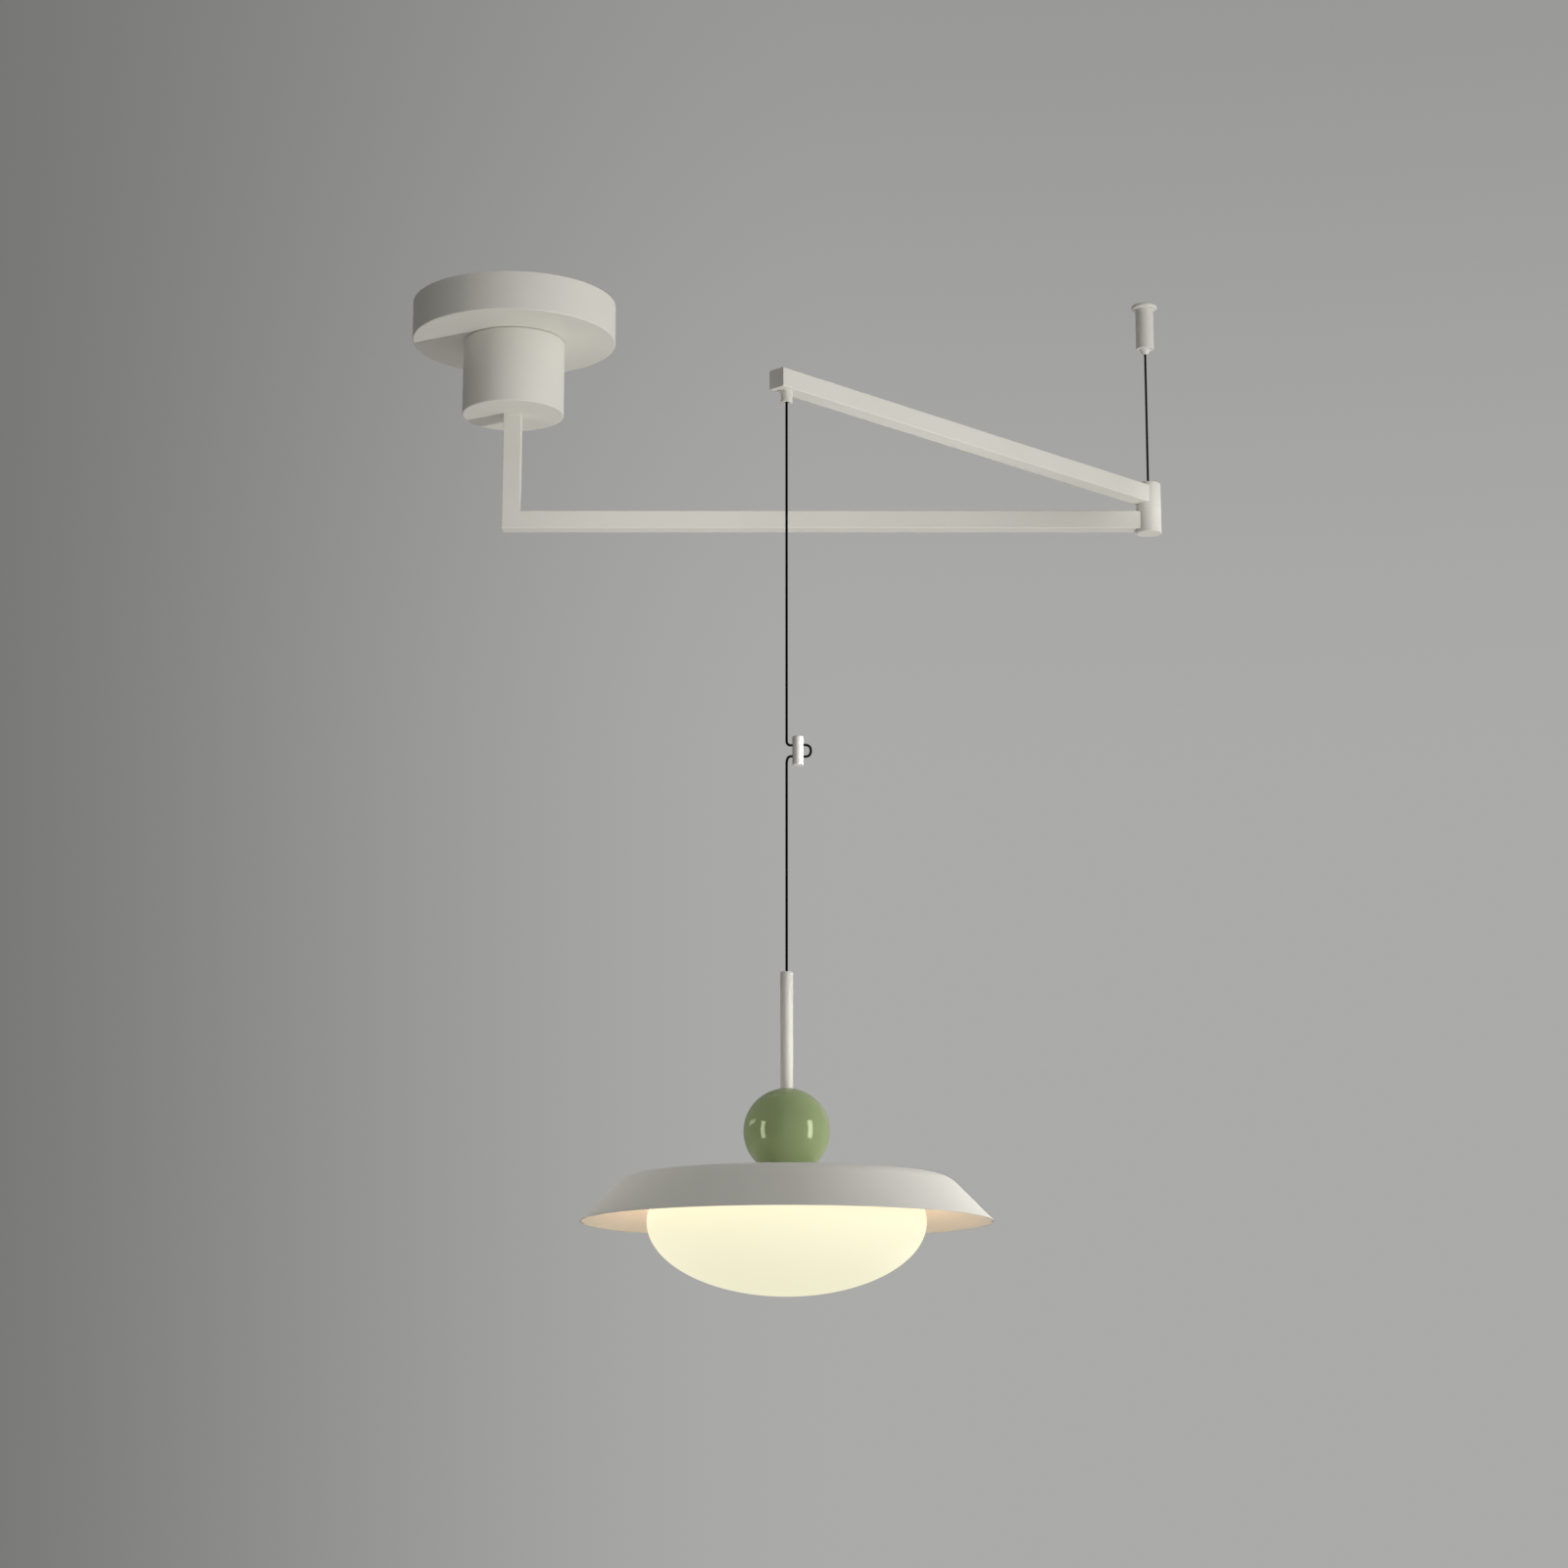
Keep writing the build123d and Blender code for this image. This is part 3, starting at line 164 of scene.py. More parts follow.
# Turned brass: bushes, pivot, nipple, gland nut and gripper slug. Cut from bar on a lathe, so fine tool
# lines run round each piece.
brass_dark = (0.66, 0.49, 0.22)
brass_bright = (0.80, 0.63, 0.33)
brass_stretch = (30.0, 30.0, 5000.0)
brass, shader, place = new_finish("turned_brass", Metallic=1.0)
lines = place.node("Mapping", {}, {"Vector": place, "Scale": brass_stretch})
marks = place.node("TexNoise", {}, {"Vector": lines, "Scale": 1.0, "Detail": 2.0})
tarnish = speckle(place, 90.0, detail=4.0)
tarnish.between(brass_dark, brass_bright).feed(shader, "Base Color")
(0.20 + 0.16 * marks + 0.08 * tarnish).feed(shader, "Roughness")
place.raised(marks, distance=0.0001, strength=0.2).feed(shader, "Normal")
dress(brass, "swivel_bush", "elbow_bush", "elbow_pivot", "lamp_nipple", "gland_nut", "gripper_body")

# Aluminium parts: the hub's top plate and the gallery pan. Faced or spun on a lathe and left bare, with
# fine rings round the axis.
aluminium_dull = (0.72, 0.72, 0.72)
aluminium_bright = (0.82, 0.82, 0.81)
aluminium_stretch = (40.0, 40.0, 4000.0)
aluminium, shader, place = new_finish("spun_aluminium", Metallic=1.0)
lines = place.node("Mapping", {}, {"Vector": place, "Scale": aluminium_stretch})
marks = place.node("TexNoise", {}, {"Vector": lines, "Scale": 1.0, "Detail": 3.0})
cloud = speckle(place, 50.0, detail=3.0)
cloud.between(aluminium_dull, aluminium_bright).feed(shader, "Base Color")
(0.28 + 0.14 * marks).feed(shader, "Roughness")
place.raised(marks, distance=0.0001, strength=0.15).feed(shader, "Normal")
dress(aluminium, "hub_top_plate", "gallery_pan")


# Canopy: a cup of sheet steel spun over a former, with a soft lower edge and a wide flat floor. It slides
# over the ceiling plate, is held by a small screw at each side, and is powder coated satin warm white.
def eased(*corners):
    """An outline of radius and level, with an arc at each corner that has an easing."""
    outline = []
    for index, (radius, level, easing) in enumerate(corners):
        if not easing:
            outline.append((radius, level))
            continue
        before = corners[index - 1]
        after = corners[(index + 1) % len(corners)]
        back = (before[0] - radius, before[1] - level)
        ahead = (after[0] - radius, after[1] - level)
        back_angle = math.atan2(back[1], back[0])
        sweep = (math.atan2(ahead[1], ahead[0]) - back_angle + math.pi) % (2 * math.pi) - math.pi
        run = easing / math.tan(abs(sweep) / 2)
        middle = back_angle + sweep / 2
        centre_run = easing / math.sin(abs(sweep) / 2)
        centre = (radius + centre_run * math.cos(middle), level + centre_run * math.sin(middle))
        start = (radius + run * math.cos(back_angle), level + run * math.sin(back_angle))
        first = math.atan2(start[1] - centre[1], start[0] - centre[0])
        turn = -math.copysign(math.pi - abs(sweep), sweep)
        steps = max(4, round(abs(turn) / math.radians(8)))
        for step in range(steps + 1):
            angle = first + turn * step / steps
            outline.append((centre[0] + easing * math.cos(angle), centre[1] + easing * math.sin(angle)))
    return outline


def turned(name, axis, outline, steps, ring=True):
    """Turns a piece about an upright axis: a circle is pulled along its outline, or round it as a ring."""
    bpy.ops.object.select_all(action="DESELECT")
    radius, level = outline[0]
    route = outline[1:] + outline[:1] if ring else outline[1:]
    bpy.ops.mesh.primitive_circle_add(vertices=steps, radius=radius, location=(*axis, level))
    piece = bpy.context.object
    piece.name = piece.data.name = name
    bpy.ops.object.transform_apply(location=True, rotation=True, scale=True)
    bpy.ops.object.mode_set(mode="EDIT")
    bpy.ops.mesh.select_all(action="SELECT")
    for next_radius, next_level in route:
        bpy.ops.mesh.extrude_edges_move(TRANSFORM_OT_translate={"value": (0, 0, next_level - level)})
        growth = next_radius / radius
        bpy.ops.transform.resize(value=(growth, growth, 1), center_override=(*axis, next_level))
        radius, level = next_radius, next_level
    bpy.ops.mesh.select_all(action="SELECT")
    bpy.ops.mesh.remove_doubles(threshold=0.00001)
    bpy.ops.mesh.normals_make_consistent(inside=False)
    bpy.ops.object.mode_set(mode="OBJECT")
    return piece


def only(piece):
    """Makes a piece the one that is selected and worked on."""
    bpy.ops.object.select_all(action="DESELECT")
    piece.select_set(True)
    bpy.context.view_layer.objects.active = piece


def cut(piece, cutter):
    """Takes a cutter's shape out of a piece, and the cutter away."""
    only(piece)
    hole = piece.modifiers.new("hole", "BOOLEAN")
    hole.operation = "DIFFERENCE"
    hole.solver = "EXACT"
    hole.object = cutter
    bpy.ops.object.modifier_apply(modifier="hole")
    bpy.data.objects.remove(cutter, do_unlink=True)


def drilled(piece, diameter, depth, middle, turn=(0, 0, 0)):
    """Drills a round hole of this depth about its middle."""
    bpy.ops.object.select_all(action="DESELECT")
    bpy.ops.mesh.primitive_cylinder_add(
        vertices=48, radius=diameter / 2, depth=depth, location=middle, rotation=turn
    )
    cut(piece, bpy.context.object)


def softened(piece, width=0.0):
    """Breaks a piece's sharp edges by this width and shades its curves smooth and its flats flat."""
    sharp = math.radians(40)
    only(piece)
    if width:
        edge = piece.modifiers.new("edge", "BEVEL")
        edge.width = width
        edge.segments = 3
        edge.limit_method = "ANGLE"
        edge.angle_limit = sharp
        bpy.ops.object.modifier_apply(modifier="edge")
    bpy.ops.object.shade_smooth_by_angle(angle=sharp)
    flats = piece.modifiers.new("flats", "WEIGHTED_NORMAL")
    flats.keep_sharp = True
    bpy.ops.object.modifier_apply(modifier="flats")


def fitted(piece, body, coat, slot, *stands_for):
    """Gives a finished piece its coat and its body, and hides the CAD pieces that it stands for."""
    piece.data.materials.clear()
    piece.data.materials.append(coat)
    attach(piece, body)
    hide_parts(*stands_for)


white_dull = (0.745, 0.730, 0.675)
white_bright = (0.795, 0.780, 0.722)
white, shader, place = new_finish("warm_white_powder_coat", IOR=1.5)
cloud = speckle(place, 14.0, detail=3.0)
peel = speckle(place, 900.0, detail=3.0)
cloud.between(white_dull, white_bright).feed(shader, "Base Color")
(0.40 + 0.10 * cloud + 0.08 * peel).feed(shader, "Roughness")
place.raised(peel, distance=0.0002, strength=0.05).feed(shader, "Normal")

hub_axis = (0.0, 0.0)
sideways = (0, math.radians(90), 0)
canopy_radius = 0.1155
canopy_inside = 0.1140
canopy_bottom = -0.0445
canopy_floor = -0.0430
shaft_hole_radius = 0.0103
grub_hole = 0.0041
grub_hole_depth = 0.012
grub_hole_middle = 0.1150
grub_level = -0.009
canopy_outline = eased(
    (canopy_radius, 0.0, 0.0003),
    (canopy_radius, canopy_bottom, 0.0014),
    (shaft_hole_radius, canopy_bottom, 0.0003),
    (shaft_hole_radius, canopy_floor, 0.0003),
    (canopy_inside, canopy_floor, 0.0010),
    (canopy_inside, 0.0, 0.0003),
)
canopy_cup = turned("canopy_cup", hub_axis, canopy_outline, steps=224)
for side in (1, -1):
    drilled(canopy_cup, grub_hole, grub_hole_depth, (side * grub_hole_middle, 0, grub_level), sideways)
softened(canopy_cup)
fitted(canopy_cup, "ceiling_base", white, "white_paint", "canopy")

# Hub: a deeper spun cup that turns under the canopy with the arm, with a ledge inside for its top plate
# and a square hole in its floor for the stem. Powder coated as the canopy.
hub_radius = 0.0575
hub_inside = 0.0555
hub_top = -0.0450
hub_bottom = -0.1313
hub_floor = -0.1273
ledge_radius = 0.0455
ledge_top = -0.0530
ledge_bottom = -0.0600
stem_hole = 0.0201
stem_hole_level = -0.1293
stem_pilot_radius = 0.0060
hub_outline = eased(
    (hub_radius, hub_top, 0.0005),
    (hub_radius, hub_bottom, 0.0012),
    (stem_pilot_radius, hub_bottom, 0),
    (stem_pilot_radius, hub_floor, 0),
    (hub_inside, hub_floor, 0.0015),
    (hub_inside, ledge_bottom, 0),
    (ledge_radius, ledge_bottom, 0),
    (ledge_radius, ledge_top, 0),
    (hub_inside, ledge_top, 0),
    (hub_inside, hub_top, 0.0003),
)
hub_cup = turned("hub_cup", hub_axis, hub_outline, steps=192)
bpy.ops.object.select_all(action="DESELECT")
bpy.ops.mesh.primitive_cube_add(size=stem_hole, location=(*hub_axis, stem_hole_level))
cut(hub_cup, bpy.context.object)
softened(hub_cup)
fitted(hub_cup, "lower_arm", white, "white_paint", "hub_shell")


# Lower arm: 20 mm square steel tube, cut at 45 degrees and welded where the stem meets the arm, then
# ground flush and powder coated. Its far end is coped to the round elbow post, with a screw from above.
def square_bar(name, start, end, side, corner):
    """A level or upright bar between two points, with its long edges rounded."""
    bpy.ops.object.select_all(action="DESELECT")
    run = [b - a for a, b in zip(start, end)]
    length = math.hypot(*run)
    upright = abs(run[2]) > length / 2
    heading = 0.0 if upright else math.atan2(run[1], run[0])
    middle = [(a + b) / 2 for a, b in zip(start, end)]
    bpy.ops.mesh.primitive_cube_add(size=1, location=middle, rotation=(0, 0, heading))
    piece = bpy.context.object
    piece.name = piece.data.name = name
    piece.scale = (side, side, length) if upright else (length, side, side)
    bpy.ops.object.transform_apply(location=True, rotation=True, scale=True)
    bpy.ops.object.mode_set(mode="EDIT")
    bpy.ops.mesh.select_mode(type="EDGE")
    bpy.ops.mesh.select_all(action="DESELECT")
    edges = bmesh.from_edit_mesh(piece.data)
    for edge in edges.edges:
        along = (edge.verts[1].co - edge.verts[0].co).normalized()
        edge.select_set(abs(sum(a * b for a, b in zip(along, run))) > 0.9 * length)
    bmesh.update_edit_mesh(piece.data)
    bpy.ops.mesh.bevel(offset=corner, segments=5, affect="EDGES")
    bpy.ops.object.mode_set(mode="OBJECT")
    return piece


def mitred(piece, corner, keep_side):
    """Cuts a bar's end off along a plane through the corner and leaves it open for the weld."""
    only(piece)
    bpy.ops.object.mode_set(mode="EDIT")
    bpy.ops.mesh.select_all(action="SELECT")
    bpy.ops.mesh.bisect(plane_co=corner, plane_no=keep_side, clear_inner=True, use_fill=False)
    bpy.ops.object.mode_set(mode="OBJECT")


def joined(piece, addition):
    """Adds one bar's mesh to a piece."""
    only(piece)
    addition.select_set(True)
    bpy.ops.object.join()


tube_side = 0.020
tube_corner = 0.0008
tube_edge = 0.0002
arm_level = -0.256
stem_top = -0.1208
stem_bottom = -0.280
past_the_mitre = 0.020
elbow = (0.720, 0.0)
cope = 0.0288
cope_depth = 0.060
screw_hole = 0.0051
screw_hole_depth = 0.012
screw_inset = 0.034
mitre_corner = (0, 0, arm_level)
stem = square_bar("stem", (0, 0, stem_top), (0, 0, stem_bottom), tube_side, tube_corner)
mitred(stem, mitre_corner, (-1, 0, 1))
lower_arm = square_bar(
    "lower_arm", (-past_the_mitre, 0, arm_level), (*elbow, arm_level), tube_side, tube_corner
)
mitred(lower_arm, mitre_corner, (1, 0, -1))
joined(lower_arm, stem)
only(lower_arm)
bpy.ops.object.mode_set(mode="EDIT")
bpy.ops.mesh.select_all(action="SELECT")
bpy.ops.mesh.remove_doubles(threshold=0.00002)
bpy.ops.mesh.normals_make_consistent(inside=False)
bpy.ops.object.mode_set(mode="OBJECT")
drilled(lower_arm, cope, cope_depth, (*elbow, arm_level))
drilled(lower_arm, screw_hole, screw_hole_depth, (elbow[0] - screw_inset, 0, arm_level + tube_side / 2))
softened(lower_arm, tube_edge)
fitted(lower_arm, "lower_arm", white, "white_paint", "stem_tube", "lower_arm_tube")

# Elbow posts: two castings of one shape, one on the end of each arm, that turn on a bolt through the
# plates that face each other. Each has a square tenon that slides into its tube, and a pressed disc
# closes its mouth.
post_radius = 0.0140
post_inside = 0.0100
post_bore_radius = 0.0067
post_face = -0.2417
post_web = -0.2477
post_mouth = -0.2703
elbow_plane = -0.2414
tenon_root = 0.7090
tenon_tip = 0.6660
tenon_side = 0.0169
tenon_corner = 0.0006
fold = math.radians(45)
post_outline = eased(
    (post_radius, post_face, 0.00015),
    (post_radius, post_mouth, 0.0004),
    (post_inside, post_mouth, 0.0002),
    (post_inside, post_web, 0.0005),
    (post_bore_radius, post_web, 0),
    (post_bore_radius, post_face, 0),
)
lower_post = turned("lower_post", elbow, post_outline, steps=96)
tenon = square_bar(
    "tenon", (tenon_root, 0, arm_level), (tenon_tip, 0, arm_level), tenon_side, tenon_corner
)
joined(lower_post, tenon)
softened(lower_post)
bpy.ops.object.duplicate()
upper_post = bpy.context.object
upper_post.name = upper_post.data.name = "upper_post"
bpy.ops.object.mode_set(mode="EDIT")
bpy.ops.mesh.select_all(action="SELECT")
bpy.ops.transform.resize(value=(1, 1, -1), center_override=(*elbow, elbow_plane))
bpy.ops.mesh.normals_make_consistent(inside=False)
bpy.ops.transform.rotate(value=-fold, orient_axis="Z", center_override=(*elbow, elbow_plane))
bpy.ops.object.mode_set(mode="OBJECT")
softened(upper_post)
fitted(lower_post, "lower_arm", white, "white_paint", "lower_knuckle")
fitted(upper_post, "upper_arm", white, "white_paint", "upper_knuckle")
dress(white, "lower_knuckle_cap", "upper_knuckle_cap")


# Upper arm: a second length of the same tube, coped to the upper post, with a hole under its free end for
# the cord gland. A square plate with a plug behind it closes the end.
def on_the_arm(distance):
    """The place at this distance from the elbow along the upper arm."""
    return (elbow[0] - distance * math.cos(fold), elbow[1] - distance * math.sin(fold))


upper_level = -0.2268
reach = 0.5935
lamp_distance = 0.579
plate_thickness = 0.002
plug_length = 0.008
plug_inside = 0.0139
gland_hole = 0.0081
gland_hole_depth = 0.014
gland_hole_drop = 0.008
gland_notch = 0.0156
lamp = on_the_arm(lamp_distance)
tube_end = (*on_the_arm(reach - plate_thickness), upper_level)
plug_start = (*on_the_arm(reach - plate_thickness - plug_length), upper_level)
arm_end = (*on_the_arm(reach), upper_level)
arm_screw = (*on_the_arm(screw_inset), upper_level + tube_side / 2)
upper_arm = square_bar("upper_arm", (*elbow, upper_level), tube_end, tube_side, tube_corner)
drilled(upper_arm, cope, cope_depth, (*elbow, upper_level))
drilled(upper_arm, gland_hole, gland_hole_depth, (*lamp, upper_level - gland_hole_drop))
drilled(upper_arm, screw_hole, screw_hole_depth, arm_screw)
softened(upper_arm, tube_edge)
fitted(upper_arm, "upper_arm", white, "white_paint", "upper_arm_tube")
plug = square_bar("plug", plug_start, tube_end, tenon_side, tenon_corner)
cut(plug, square_bar("hollow", (*elbow, upper_level), tube_end, plug_inside, tenon_corner))
drilled(plug, gland_notch, cope_depth, (*lamp, upper_level))
end_plate = square_bar("end_plate", tube_end, arm_end, tube_side, tube_corner)
softened(end_plate, tube_edge)
joined(end_plate, plug)
softened(end_plate)
fitted(end_plate, "upper_arm", white, "white_paint", "arm_end_cap")

# Cord gland: a small turned bush screwed up into the arm's end, with a flared mouth so that the cord
# leans on no sharp edge. Powder coated with the arm.
gland_radius = 0.0059
gland_mouth_radius = 0.00336
gland_throat_radius = 0.00155
gland_bore_radius = 0.0021
gland_neck_radius = 0.0040
gland_mouth = -0.2493
gland_throat = -0.2459
gland_taper = -0.2451
gland_shoulder = -0.2368
gland_top = -0.2308
gland_outline = eased(
    (gland_mouth_radius, gland_mouth, 0.0003),
    (gland_radius, gland_mouth, 0.0008),
    (gland_radius, gland_shoulder, 0),
    (gland_neck_radius, gland_shoulder, 0),
    (gland_neck_radius, gland_top, 0),
    (gland_bore_radius, gland_top, 0),
    (gland_bore_radius, gland_taper, 0),
    (gland_throat_radius, gland_throat, 0),
)
gland = turned("gland", lamp, gland_outline, steps=72)
softened(gland)
fitted(gland, "upper_arm", white, "white_paint", "cord_gland")


# Pendant cord: a thin black cord with a woven sleeve. It hangs from the gland, goes through the adjuster,
# round in a small loop and back, and then drops straight into the lamp's tube. The flex in the arms is
# the same cord.
def cord_line(name, points, thickness):
    """A smooth line along the cord's route, as thick as the cord."""
    smoothness = 16
    line = bpy.data.curves.new(name, "CURVE")
    line.dimensions = "3D"
    line.resolution_u = smoothness
    line.bevel_depth = thickness / 2
    line.bevel_resolution = 5
    line.use_fill_caps = True
    spline = line.splines.new("NURBS")
    spline.points.add(len(points) - 1)
    for point, where in zip(spline.points, points):
        point.co = (*where, 1)
    spline.order_u = 3
    spline.use_endpoint_u = True
    spline.resolution_u = smoothness
    cord = bpy.data.objects.new(name, line)
    bpy.context.collection.objects.link(cord)
    return cord


def yarns(place):
    """Slanting bands as wide as the sleeve's yarns."""
    return place.node("TexWave", {"wave_type": "BANDS", "bands_direction": "DIAGONAL"}, {
        "Vector": place, "Scale": 420.0, "Distortion": 0.4, "Detail": 1.0})


yarn_dark = (0.003, 0.003, 0.003)
yarn_light = (0.010, 0.009, 0.009)
sleeve, shader, place = new_finish("black_woven_sleeve", IOR=1.48, Specular_IOR_Level=0.03)
lean = place.node("Mapping", {}, {"Vector": place, "Rotation": (0, 0, math.radians(45))})
weave = yarns(place) * yarns(lean)
weave.between(yarn_dark, yarn_light).feed(shader, "Base Color")
(0.74 - 0.14 * weave).feed(shader, "Roughness")
place.raised(weave, distance=0.0002, strength=0.5).feed(shader, "Normal")
dress(sleeve, "lower_flex", "upper_flex", "lamp_flex")

cord_thickness = 0.0025
cord_top = -0.2459
upper_pass = -0.6047
lower_pass = -0.6159
cord_split = -0.6239
cord_foot = -0.8350
straight_foot = 0.015
bend = 0.0088
grip_offset = 0.0113
loop_width = 0.0240
loop_rise = 0.0006
upper_cord = cord_line("pendant_cord", [
    (*lamp, cord_top),
    (*lamp, upper_pass + bend),
    (*lamp, upper_pass),
    (lamp[0] + bend, lamp[1], upper_pass),
    (lamp[0] + grip_offset, lamp[1], upper_pass),
    (lamp[0] + loop_width, lamp[1], upper_pass + loop_rise),
    (lamp[0] + loop_width, lamp[1], lower_pass - loop_rise),
    (lamp[0] + grip_offset, lamp[1], lower_pass),
    (lamp[0] + bend, lamp[1], lower_pass),
    (*lamp, lower_pass),
    (*lamp, cord_split),
], cord_thickness)
fitted(upper_cord, "pendant_cord", sleeve, "black_cord", "upper_cord")

drop_route = [(*lamp, cord_split), (*lamp, cord_foot + straight_foot), (*lamp, cord_foot)]
drop_line = cord_line("drop_line", drop_route, 0.0)
drop_mesh = bpy.data.meshes.new_from_object(drop_line)
bpy.data.meshes.remove(drop_mesh)
bpy.data.objects.remove(drop_line, do_unlink=True)
drop_cord = cord_line("drop_cord", drop_route, cord_thickness)
only(drop_cord)
bpy.ops.object.convert(target="MESH")
drop_cord = bpy.context.object
softened(drop_cord)
fitted(drop_cord, "lower_cord", sleeve, "black_cord", "lower_cord")
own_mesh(drop_cord)

# Cord adjuster: a short round bar with two cross holes that the cord is threaded through, so that it
# grips by its own bends. Moulded in bright white plastic with a polished skin.
polished_dull = (0.78, 0.77, 0.74)
polished_bright = (0.82, 0.81, 0.78)
polished, shader, place = new_finish("polished_white_plastic", IOR=1.5)
cloud = speckle(place, 120.0)
cloud.between(polished_dull, polished_bright).feed(shader, "Base Color")
(0.22 + 0.08 * cloud).feed(shader, "Roughness")
grip_aside = 0.0112
grip_axis = (lamp[0] + grip_aside, lamp[1])
grip_radius = 0.0056
grip_rim = 0.0012
grip_bottom = -0.6250
grip_top = -0.5956
cord_hole = 0.0031
cord_hole_depth = 0.030
grip_outline = eased(
    (grip_rim, grip_bottom, 0), (grip_radius, grip_bottom, 0.0012),
    (grip_radius, grip_top, 0.0012), (grip_rim, grip_top, 0),
)
grip = turned("cord_grip", grip_axis, grip_outline, steps=72, ring=False)
only(grip)
bpy.ops.object.mode_set(mode="EDIT")
bpy.ops.mesh.select_all(action="SELECT")
bpy.ops.mesh.fill_holes(sides=0)
bpy.ops.mesh.select_all(action="SELECT")
bpy.ops.mesh.normals_make_consistent(inside=False)
bpy.ops.object.mode_set(mode="OBJECT")
for level in (upper_pass, lower_pass):
    drilled(grip, cord_hole, cord_hole_depth, (*grip_axis, level), sideways)
softened(grip)
fitted(grip, "pendant_cord", polished, "white_paint", "cord_adjuster")

# Drop tube: a straight tube that stands on the ball, with a lock for the cord in its mouth. Drawn steel
# with a broken edge, powder coated white.
drop_tube_radius = 0.00625
drop_tube_bore_radius = 0.00505
drop_tube_top = -0.8320
drop_tube_bottom = -0.9464
drop_tube_outline = eased(
    (drop_tube_radius, drop_tube_bottom, 0.0002),
    (drop_tube_radius, drop_tube_top, 0.0005),
    (drop_tube_bore_radius, drop_tube_top, 0.0002),
    (drop_tube_bore_radius, drop_tube_bottom, 0),
)
drop_tube = turned("stem_of_the_lamp", lamp, drop_tube_outline, steps=72)
softened(drop_tube)
fitted(drop_tube, "lamp", white, "white_paint", "drop_tube")


# Ball: a hollow metal ball cut flat at crown and foot, threaded on the nipple between tube and shade.
# Sprayed sage green and finished with a deep gloss coat that shows the lamps of the studio.
def walled(piece, thickness):
    """Gives a skin its wall, inwards."""
    only(piece)
    wall = piece.modifiers.new("wall", "SOLIDIFY")
    wall.thickness = thickness
    wall.offset = -1
    bpy.ops.object.modifier_apply(modifier="wall")


sage_dark = (0.315, 0.396, 0.187)
sage_light = (0.343, 0.427, 0.208)
green, shader, place = new_finish(
    "sage_green_enamel", IOR=1.5, Specular_IOR_Level=0.9, Specular_Tint=(0.89, 1.0, 0.68, 1.0)
)
cloud = speckle(place, 25.0, detail=3.0)
peel = speckle(place, 260.0)
cloud.between(sage_dark, sage_light).feed(shader, "Base Color")
(0.045 + 0.03 * cloud).feed(shader, "Roughness")
place.raised(peel, distance=0.0002, strength=0.03).feed(shader, "Normal")
ball_level = -0.98793
ball_radius = 0.042
crown = ball_level + 0.041532
foot = ball_level - 0.041024
crown_rim = 0.00625
foot_rim = 0.0090
nipple_hole_radius = 0.00505
ball_wall = 0.0024
bpy.ops.object.select_all(action="DESELECT")
bpy.ops.mesh.primitive_uv_sphere_add(
    segments=160, ring_count=96, radius=ball_radius, location=(*lamp, ball_level)
)
ball = bpy.context.object
ball.name = ball.data.name = "green_ball"
bpy.ops.object.transform_apply(location=True, rotation=True, scale=True)
bpy.ops.object.mode_set(mode="EDIT")
for level, upward, rim in ((crown, 1, crown_rim), (foot, -1, foot_rim)):
    bpy.ops.mesh.select_all(action="SELECT")
    bpy.ops.mesh.bisect(
        plane_co=(*lamp, level), plane_no=(0, 0, upward), clear_outer=True, use_fill=True
    )
    bpy.ops.mesh.inset(thickness=rim - nipple_hole_radius)
    bpy.ops.mesh.delete(type="FACE")
bpy.ops.object.mode_set(mode="OBJECT")
walled(ball, ball_wall)
softened(ball)
fitted(ball, "lamp", green, "green_paint", "ball")

# Shade: a wide shallow cone spun from sheet, with a flat top, a soft shoulder and a thin rim. Clamped
# under the ball by the nipple's nut, and powder coated inside and out.
shade_top = -1.03206
shade_under = shade_top - 0.0015
shade_rim = -1.07566
shade_radius = 0.2000
shade_inside = 0.1979
shoulder_radius = 0.1570
shoulder_inside = 0.15637
shade_outline = eased(
    (nipple_hole_radius, shade_top, 0),
    (shoulder_radius, shade_top, 0.026),
    (shade_radius, shade_rim, 0.0004),
    (shade_inside, shade_rim, 0.0004),
    (shoulder_inside, shade_under, 0.0245),
    (nipple_hole_radius, shade_under, 0),
)
shade = turned("shade_cone", lamp, shade_outline, steps=256)
softened(shade)
fitted(shade, "lamp", white, "white_paint", "shade")

# Light board: a round white circuit board under the pan, with three rings of light chips. The board is
# coated with solder mask, and each chip has a window of yellow phosphor.
mask_dull = (0.84, 0.84, 0.81)
mask_bright = (0.90, 0.90, 0.88)
mask, shader, place = new_finish("white_solder_mask", IOR=1.5)
cloud = speckle(place, 120.0, detail=3.0)
cloud.between(mask_dull, mask_bright).feed(shader, "Base Color")
(0.30 + 0.12 * cloud).feed(shader, "Roughness")
dress(mask, "led_board")
phosphor_dark = (0.86, 0.66, 0.20)
phosphor_light = (0.95, 0.80, 0.36)
phosphor, shader, place = new_finish("phosphor_window", IOR=1.5)
cloud = speckle(place, 900.0, detail=3.0)
cloud.between(phosphor_dark, phosphor_light).feed(shader, "Base Color")
(0.22 + 0.15 * cloud).feed(shader, "Roughness")
dress(phosphor, "led_chips")


# Glass: a bowl of opal glass blown in a mould, half an ellipsoid below the shade's rim and drawn in above
# it to a neck that the gallery screws hold. Etched satin outside, and lit from within.
def ramp(value, start, end, **ends):
    """A soft step from 0 to 1, or between other ends, as a value goes from start to end."""
    limits = {"Value": value, "From Min": start, "From Max": end}
    for name, level in ends.items():
        limits[name.replace("_", " ")] = level
    return value.node("MapRange", {"interpolation_type": "SMOOTHSTEP"}, limits)


